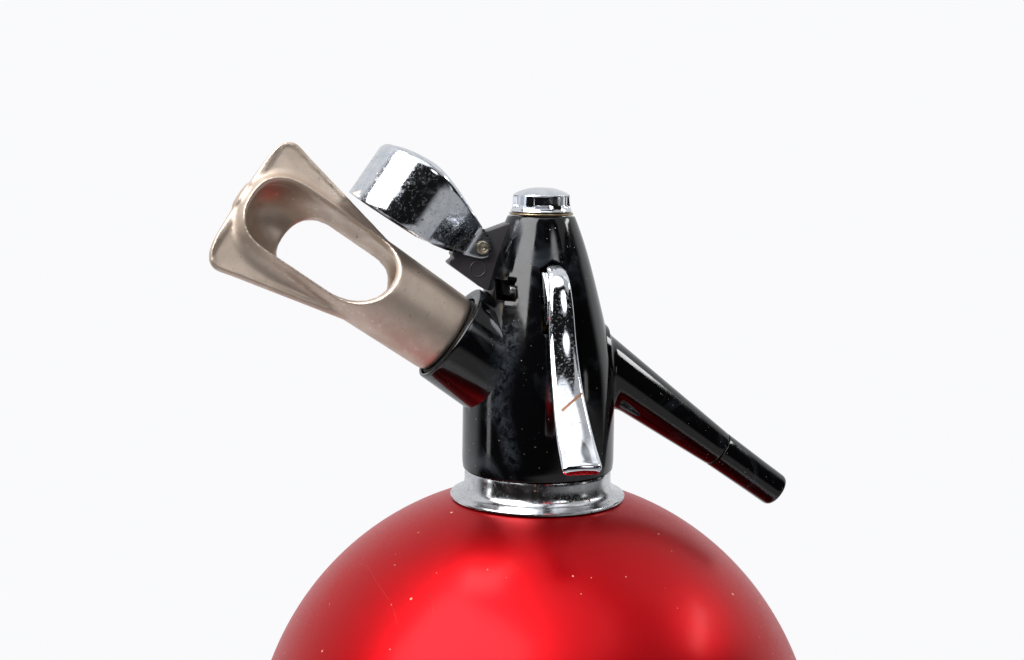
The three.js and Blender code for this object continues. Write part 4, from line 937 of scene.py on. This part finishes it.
def holder_section(reach, radius, wing=0.0, half=1.0):
    """A ring round the tub and both wings, with a hollow root between them and a raised border."""
    border = half + 0.4 if half > 0.9 else half
    if wing > radius + 0.05:
        fillet = ((wing - 1.9) ** 2 - radius ** 2 + half ** 2) / (2 * (radius - half)) if radius > half + 0.2 else 0
        fillet = max(0.15, min(4.0, fillet))
        middle = (sqrt((radius + fillet) ** 2 - (half + fillet) ** 2), half + fillet)
        edge = wing - 1.5
        quarter = [(wing, 0), (wing - 0.1, border * 0.55), (wing - 0.35, border * 0.88), (wing - 0.75, border),
                   (wing - 1.15, border - 0.08)]
        quarter += [(edge + (middle[0] - edge) * share, half) for share in (0, 0.25, 0.5, 0.75)]
        root = degrees(atan2(-middle[1], -middle[0]))
        quarter += arc(fillet, -90, root, 6, middle) + arc(radius, root + 180, 90, 10)[1:]
    else:
        quarter = arc(radius, 0, 7, 15) + arc(radius, 7, 90, 10)[1:]
    grown = [max(1, radius / hypot(x, y)) for x, y in quarter]
    quarter = [(x * more, y * more) for (x, y), more in zip(quarter, grown)]
    ring = quarter + [(-x, y) for x, y in reversed(quarter[:-1])]
    ring += [(x, -y) for x, y in reversed(ring[1:-1])]
    return [(x, y, reach) for x, y in ring]


def bulb_holder():
    place = HOLDER_PLACE @ moved(0, 0, SOCKET_REACH) @ turned_by(HOLDER_ROLL, "Z")
    wing_edge = reading([(24.4, 11.6), (25.4, 12.1), (56, 19.0), (58, 19.6), (59.5, 19.85), (60.8, 19.7), (61.9, 19.0),
                         (62.8, 17.7), (63.4, 16.2), (63.85, 14.2), (64.15, 11.5), (64.3, 8.0), (64.42, 4.2)])
    half_thickness = reading([(24, 1.0), (62.4, 1.0), (62.7, 1.35), (63.8, 1.35), (64.15, 1.1), (64.3, 0.75),
                              (64.42, 0.3)])
    mouth = filleted([[8.7, -8.5], [8.7, 0, 0.3], [11.15, 0, 2.4], [11.68, 24]], closed=False, steps=7)
    knob = [(3.8, 64.55), (3.5, 64.75), (2.8, 64.93), (1.6, 65.03), (0.4, 65.06)]
    rings = [holder_section(reach, radius) for radius, reach in mouth]
    for reach in [*np.arange(24.4, 62, 1.0), *np.linspace(62.1, 63.85, 9), 64.0, 64.15, 64.3, 64.42]:
        radius = max(tub_radius(reach), KNOB_RADIUS if reach > 60 else 0)
        rings.append(holder_section(reach, radius, wing_edge(reach), half_thickness(reach)))
    rings += [holder_section(reach, radius) for radius, reach in knob]
    whole = lofted("holder", rings, place)
    bowl = [(HOLDER_BORE * (1 - share ** 2.3) ** (1 / 2.3), TUB_STRAIGHT + (HOLDER_BORE_END - TUB_STRAIGHT) * share)
            for share in np.sin(np.radians(np.linspace(0, 90, 16)))[1:-1]]
    bore = filleted([[5, -12], [5, 3, 1], [HOLDER_BORE, 14, 4], [HOLDER_BORE, TUB_STRAIGHT]], closed=False)
    for cutter in (turned("bore", [(0, -12), *bore, *bowl, (0, HOLDER_BORE_END)], 96, place),
                   window_cutter(24.6, 61.7, 9.4, 9.2, -1, place, 6.0), window_cutter(17.6, 48.8, 8.9, 8.6, 1, place)):
        cut_by(whole, cutter)
    modified(whole, "REMESH", mode="VOXEL", voxel_size=HOLDER_VOXEL * MM)
    settled(modified(whole, "SMOOTH", factor=0.5, iterations=12))
    dressed(whole, BRONZE, "bulb_holder", "bronze_casting", "bulb_holder", crease=70)


def holder_ring():
    ring = filleted([[9.7, 28.95, 0.3], [11.2, 28.95, 0.4], [11.35, 30.15, 0.4], [9.7, 30.2, 0.3]])
    dressed(turned("holder_ring", ring, 96, HOLDER_PLACE), RUBBER, "holder_washer", "black_rubber", "holder_washer")


# ---- Socket cover

COVER_SIN, COVER_COS = sin(radians(COVER_TILT)), cos(radians(COVER_TILT))
COVER_PLACE = PIN_PLACE @ Matrix(((-COVER_COS, 0, COVER_SIN), (0, -1, 0), (COVER_SIN, 0, COVER_COS))).to_4x4()
WALL_ROWS, RUNG_STEPS = 9, 16


def cover_plan():
    """Half the cover's plan from the ear's end round to the nose: points and the ways inwards."""
    turn = 122
    nose = arc(NOSE_RADIUS, turn, 0, 44, (NOSE_CENTRE, 0))
    ear = filleted([[EAR_END, EAR_HALF_WIDTH], [3.0, EAR_HALF_WIDTH, 4], nose[0]], closed=False, steps=4)
    line = [(x, EAR_HALF_WIDTH) for x in (EAR_END, -2.6, -2.45, -2.2, -1.85, -1.4, -0.8, -0.1, 0.6)] + ear[1:-1]
    line += [tuple(np.array(ear[-2]) * (1 - s) + np.array(nose[0]) * s) for s in np.linspace(0.12, 0.9, 8)] + nose
    ends = np.array([line[0], *line, line[-1]])
    ways = (ends[2:] - ends[:-2])[:, ::-1] * (1, -1)
    ways /= np.linalg.norm(ways, axis=1)[:, None]
    ways[-1] = (-1, 0)
    return line, ways


def socket_cover():
    """The shell as columns round its plan, from the rim up over a round edge, and rungs across its roof."""
    rim = reading([(EAR_END, -0.05), (-2.6, -0.65), (-2.4, -1.25), (-2.0, -1.85), (-1.4, -2.4), (-0.6, -2.85),
                   (0.6, -3.3), (1.9, -3.75), (4.4, -4.6), (8.4, -5.9), (13.2, -6.85), (36.3, -7.1)])
    roof = reading([(EAR_END, 0.05), (-2.6, 0.65), (-2.4, 1.2), (-2.0, 1.8), (-1.4, 2.35), *through([
        (-0.6, 2.85), (0.85, 3.55), (4.85, 5.3), (10, 7.2), (14.7, 8.8), (21.9, 10.3), (29.5, 10.0), (35.9, 9.0)], 6)])
    round_edge = reading([(3, 0.55), (10, 1.5), (18, 2.4)])
    line, ways = cover_plan()
    open_columns = sum(1 for x, _ in line if x < 2.9)
    points, columns = [], []
    for side in (1, -1):
        for index, ((x, y), (in_x, in_y)) in enumerate(zip(line[:len(line) - (side < 0)], ways)):
            size = 0 if index < open_columns else round_edge(x)
            low, high = rim(x), roof(x) - size
            first = len(points)
            for height in np.linspace(low, high, WALL_ROWS):
                bulge = 0.3 * (x > 8) * (1 - (height - low) / max(roof(x) - low, 1))
                points.append((x - in_x * bulge, side * (y - in_y * bulge), height))
            for turn in np.radians(np.linspace(0, 90, 8))[1:]:
                inset = size * (1 - cos(turn))
                points.append((x + in_x * inset, side * (y + in_y * inset), high + size * sin(turn)))
            columns.append(list(range(first, len(points))))
    left = columns[:len(line)]
    right = [*columns[len(line):], left[-1]]
    faces = []
    for half in (left, right):
        for index, (low, high) in enumerate(zip(half, half[1:])):
            rows = (WALL_ROWS if index < open_columns else len(low)) - 1
            faces += [[low[row], high[row], high[row + 1], low[row + 1]] for row in range(rows)]
    rungs = []
    for a, b in zip(left[open_columns:-1], right[open_columns:-1]):
        start, end = Vector(points[a[-1]]), Vector(points[b[-1]])
        rise = min((start - end).length * 0.035, 0.85)
        rungs.append([a[-1], *range(len(points), len(points) + RUNG_STEPS - 1), b[-1]])
        for share in np.arange(1, RUNG_STEPS) / RUNG_STEPS:
            points.append(start.lerp(end, share))
            points[-1].z += rise * (1 - (2 * share - 1) ** 2)
    rungs.append([left[-1][-1]] * (RUNG_STEPS + 1))
    for low, high in zip(rungs, rungs[1:]):
        faces += strip(low, high)
    cover = solid_of("hinged_cover", points, faces, COVER_PLACE)
    settled(modified(cover, "SOLIDIFY", thickness=COVER_WALL * MM, offset=-1, use_even_offset=True))
    cut_by(cover, turned("pin_hole", [(0, -8), (1.4, -8), (1.4, 8), (0, 8)], 32, COVER_PLACE @ turned_by(90, "X")))
    dressed(softened(cover, 0.2, 50, 2), COVER_CHROME, "socket_cover", "chrome_plate", "socket_cover", crease=35)


def cover_rivet():
    head = filleted([[1.1, 4.4], [1.7, 4.45, 0.1], [1.68, 5.25, 0.2], [1.2, 5.3, 0.1], [1.05, 5.05, 0.1],
                     [0.5, 5.0, 0.1], [0.35, 4.85, 0.1], [0, 4.8]], closed=False, steps=4)
    profile = [(0, -4.8)] + [(r, -z) for r, z in reversed(head[:-1])] + head
    dressed(turned("cover_rivet", profile, 48, PIN_PLACE @ turned_by(90, "X")), PIN_BRASS, "head", "brass_part",
            "cover_pin")


# ---- Inner pieces

def rounded_tube(inner, outer, low, high, rounding):
    """The outline of a tube with rounded ends, or of a rod if it has no inner radius."""
    if inner:
        return filleted([[radius, level, rounding] for radius, level in
                         ((inner, low), (outer, low), (outer, high), (inner, high))], steps=3)
    corners = [[0.01, low], [outer, low, rounding], [outer, high, rounding], [0.01, high]]
    return [(0, low), *filleted(corners, closed=False, steps=3)[1:-1], (0, high)]


def inner_pieces():
    """The turned pieces inside, by place, the materials of the solids that stay as they are, and the spring."""
    rows = (
        (UPRIGHT, "neck_seal", (
            ("neck_washer", "neck_gasket", (13, 17, 19.3, 20.9, 0.15), 96, RUBBER, "black_rubber"),)),
        (UPRIGHT @ moved(-8, 0, 0), "head", (
            ("gas_valve", "gas_check_valve", (0, 2.2, 8.2, 13.2, 0.4), 32, RUBBER, "black_rubber"),)),
        (UPRIGHT, "head", (
            ("valve_washer_seat", "valve_seat", (1.8, 4.7, 32.3, 34.9, 0.15), 48, MILKY, "pale_plastic"),
            ("stem_gland", "valve_gland", (2.3, 5, 49.3, 52.0, 0.3), 48, BRASS, "brass_part"),
            ("riser_tube", "dip_tube", (2.6, 3.9, -143.5, 18.2, 0.4), 64, MILKY, "pale_plastic"))),
        (SPOUT_PLACE, "head", (
            ("spout_washer", "spout_seal", (2.9, 6, 14.3, 15.5, 0.15), 48, RUBBER, "black_rubber"),
            ("spout_tube", "spout_liner", (2, 2.6, 14.3, 82.4, 0.15), 48, MILKY, "pale_plastic"))),
        (HOLDER_PLACE, "head", (
            ("socket_thread", "socket_liner", (9.9, 11.5, 17.6, 28.6, 0.3), 96, BRASS, "brass_part"),
            ("piercer_block", "piercer_bush", (1.4, 9.6, 15.9, 20.0, 0.4), 64, BRASS, "brass_part"),
            ("bulb_washer", "bulb_seal", (1.4, 4.7, 20.3, 22.7, 0.3), 48, RUBBER, "black_rubber"))),
        (UPRIGHT @ moved(0, -LEVER_PIN_OUT, LEVER_PIN_HEIGHT) @ turned_by(90, "Y"), "head", (
            ("lever_pivot", "lever_pin", (0, 1.25, -10.3, 10.3, 0.2), 32, STEEL, "spring_steel"),)),
    )
    for place, body, pieces in rows:
        for name, node, sizes, steps, material, slot in pieces:
            dressed(turned(name, rounded_tube(*sizes), steps, place), material, body, slot, node)
    for node, material in (("valve_body", BRASS), ("valve_disc", RUBBER), ("valve_stem", BRASS), ("valve_yoke", BRASS),
                           ("dip_tube_nut", BRASS), ("piercer_needle", STEEL)):
        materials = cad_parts[node].data.materials
        materials.clear()
        materials.append(material)
    wire, bottom, length, stroke = 0.4, 57.7, 11.0, 1.5
    spring = repeated("stem_spring", COIL, Radius=3.4 * MM, Wire_radius=wire * MM, Height=(length - 2 * wire) * MM,
                      Turns=6.0, Start=(bottom + wire + FLANGE_HEIGHT) * MM, Steps=36, Sides=10, Finish=STEEL)
    dressed(spring, STEEL, "valve_stem", "spring_steel", "valve_spring")
    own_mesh(spring)


for build in (bottle, foot, rubber_foot, neck, collar, head_casing, top_cap, spout, pour_lever, bulb_holder,
              holder_ring, socket_cover, cover_rivet, inner_pieces):
    build()


# ---- Studio

def photo_camera():
    """The camera stands 396 mm from the head's axis, 14 degrees to the left of the lever."""
    data = bpy.data.cameras.new("camera")
    data.lens = 52.73
    data.sensor_width = 36
    data.clip_start = 0.01
    camera = linked("camera", data)
    heading, pitch, roll = radians(77.06), radians(7.71), radians(0.67)
    ahead = Vector((cos(heading) * cos(pitch), sin(heading) * cos(pitch), -sin(pitch)))
    right = Vector((sin(heading), -cos(heading), 0))
    up = right.cross(ahead)
    axes = Matrix((cos(roll) * right + sin(roll) * up, cos(roll) * up - sin(roll) * right, -ahead)).transposed()
    camera.matrix_world = moved(-0.0958, -0.3842, 0.2513) @ axes.to_4x4()
    bpy.context.scene.camera = camera


def softbox(name, place, width, height, power):
    """A lit panel of a size in metres, aimed at the head and not seen itself."""
    data = bpy.data.lights.new(name, "AREA")
    data.shape = "RECTANGLE"
    data.size, data.size_y, data.energy = width, height, power
    lamp = linked(name, data)
    lamp.location = place
    lamp.rotation_euler = (Vector((0, 0, 0.2)) - Vector(place)).to_track_quat("-Z", "Y").to_euler()
    lamp.visible_camera = False


def room():
    """White past the object; in reflections dark in front, with a bright backdrop, a ceiling, a glow and a table."""
    world = bpy.data.worlds.new("room")
    bpy.context.scene.world = world
    world.use_nodes = True
    tree = world.node_tree
    tree.nodes.clear()
    facing = grow(tree, "ShaderNodeTexCoord").outputs["Generated"]
    patches = {
        "backdrop": ((0.1, 0.962, 0.25), 0.14, 0.42, 0.007, 0.78),
        "ceiling": ((-0.2, 0.6, 0.775), 0.5, 0.95, 0.0, 0.62),
        "overhead": ((0.05, -0.33, 0.943), 0.905, 0.94, 0.0, 1.5),
        "glow": ((0.36, -0.815, 0.454), 0.983, 0.999, 0.0, 4.2),
        "table": ((0.2, -0.1, -0.975), 0.32, 0.46, 0.0, 0.4),
    }
    strength = None
    for way, low, high, start, end in patches.values():
        turn = grow(tree, "ShaderNodeVectorMath", facing, way, settings={"operation": "DOT_PRODUCT"})
        patch = grow(tree, "ShaderNodeMapRange", Value=turn.outputs["Value"], From_Min=low, From_Max=high, To_Min=start,
                     To_Max=end, settings={"interpolation_type": "SMOOTHSTEP"}).outputs[0]
        strength = patch if strength is None else grow(
            tree, "ShaderNodeMath", strength, patch, settings={"operation": "MAXIMUM"}).outputs[0]
    mirrored = grow(tree, "ShaderNodeBackground", Color=(0.97, 0.98, 1), Strength=strength)
    seen = grow(tree, "ShaderNodeBackground", Color=(0.955, 0.955, 0.97))
    to_camera = grow(tree, "ShaderNodeLightPath").outputs["Is Camera Ray"]
    mixed = grow(tree, "ShaderNodeMixShader", to_camera, mirrored.outputs[0], seen.outputs[0])
    grow(tree, "ShaderNodeOutputWorld", Surface=mixed.outputs[0])


def studio_floor():
    """A pale matt floor that runs out into the white of the room."""
    floor = turned("studio_floor", [(0, 0), (150, 0), (300, 0)], 96, Matrix.Identity(4))
    r = Recipe("pale_sweep", Roughness=0.9, Specular_IOR_Level=0.1)
    tone = r.noise(3, 4)
    colour = r.blend(tone, (0.80, 0.80, 0.81), (0.84, 0.84, 0.85))
    glow = r.blend(tone, (0.16, 0.16, 0.165), (0.14, 0.14, 0.145))
    out = r.vectors("LENGTH", r.place)["Value"]
    feed(r.shader, Base_Color=colour, Emission_Color=glow, Emission_Strength=1.0,
         Alpha=r.between(out, 0.10, 0.24, 1.0, 0.0))
    floor.data.materials.append(r.material)


photo_camera()
room()
studio_floor()
softbox("left_box", (-0.70, -0.36, 0.97), 1.02, 1.0, 19.5)
softbox("left_strip", (-0.85, 0.04, 0.23), 0.1, 0.5, 0.34)
softbox("right_strip", (0.75, -0.4, 0.17), 0.09, 0.16, 0.07)
softbox("right_bar", (0.743, -0.026, 0.61), 0.3, 0.07, 0.7)
softbox("right_box", (0.72, -0.26, 0.99), 0.85, 0.7, 0.9)
softbox("top_box", (-0.3, 0.195, 1.24), 0.3, 0.3, 2.8)
bpy.context.scene.view_settings.view_transform = "Standard"
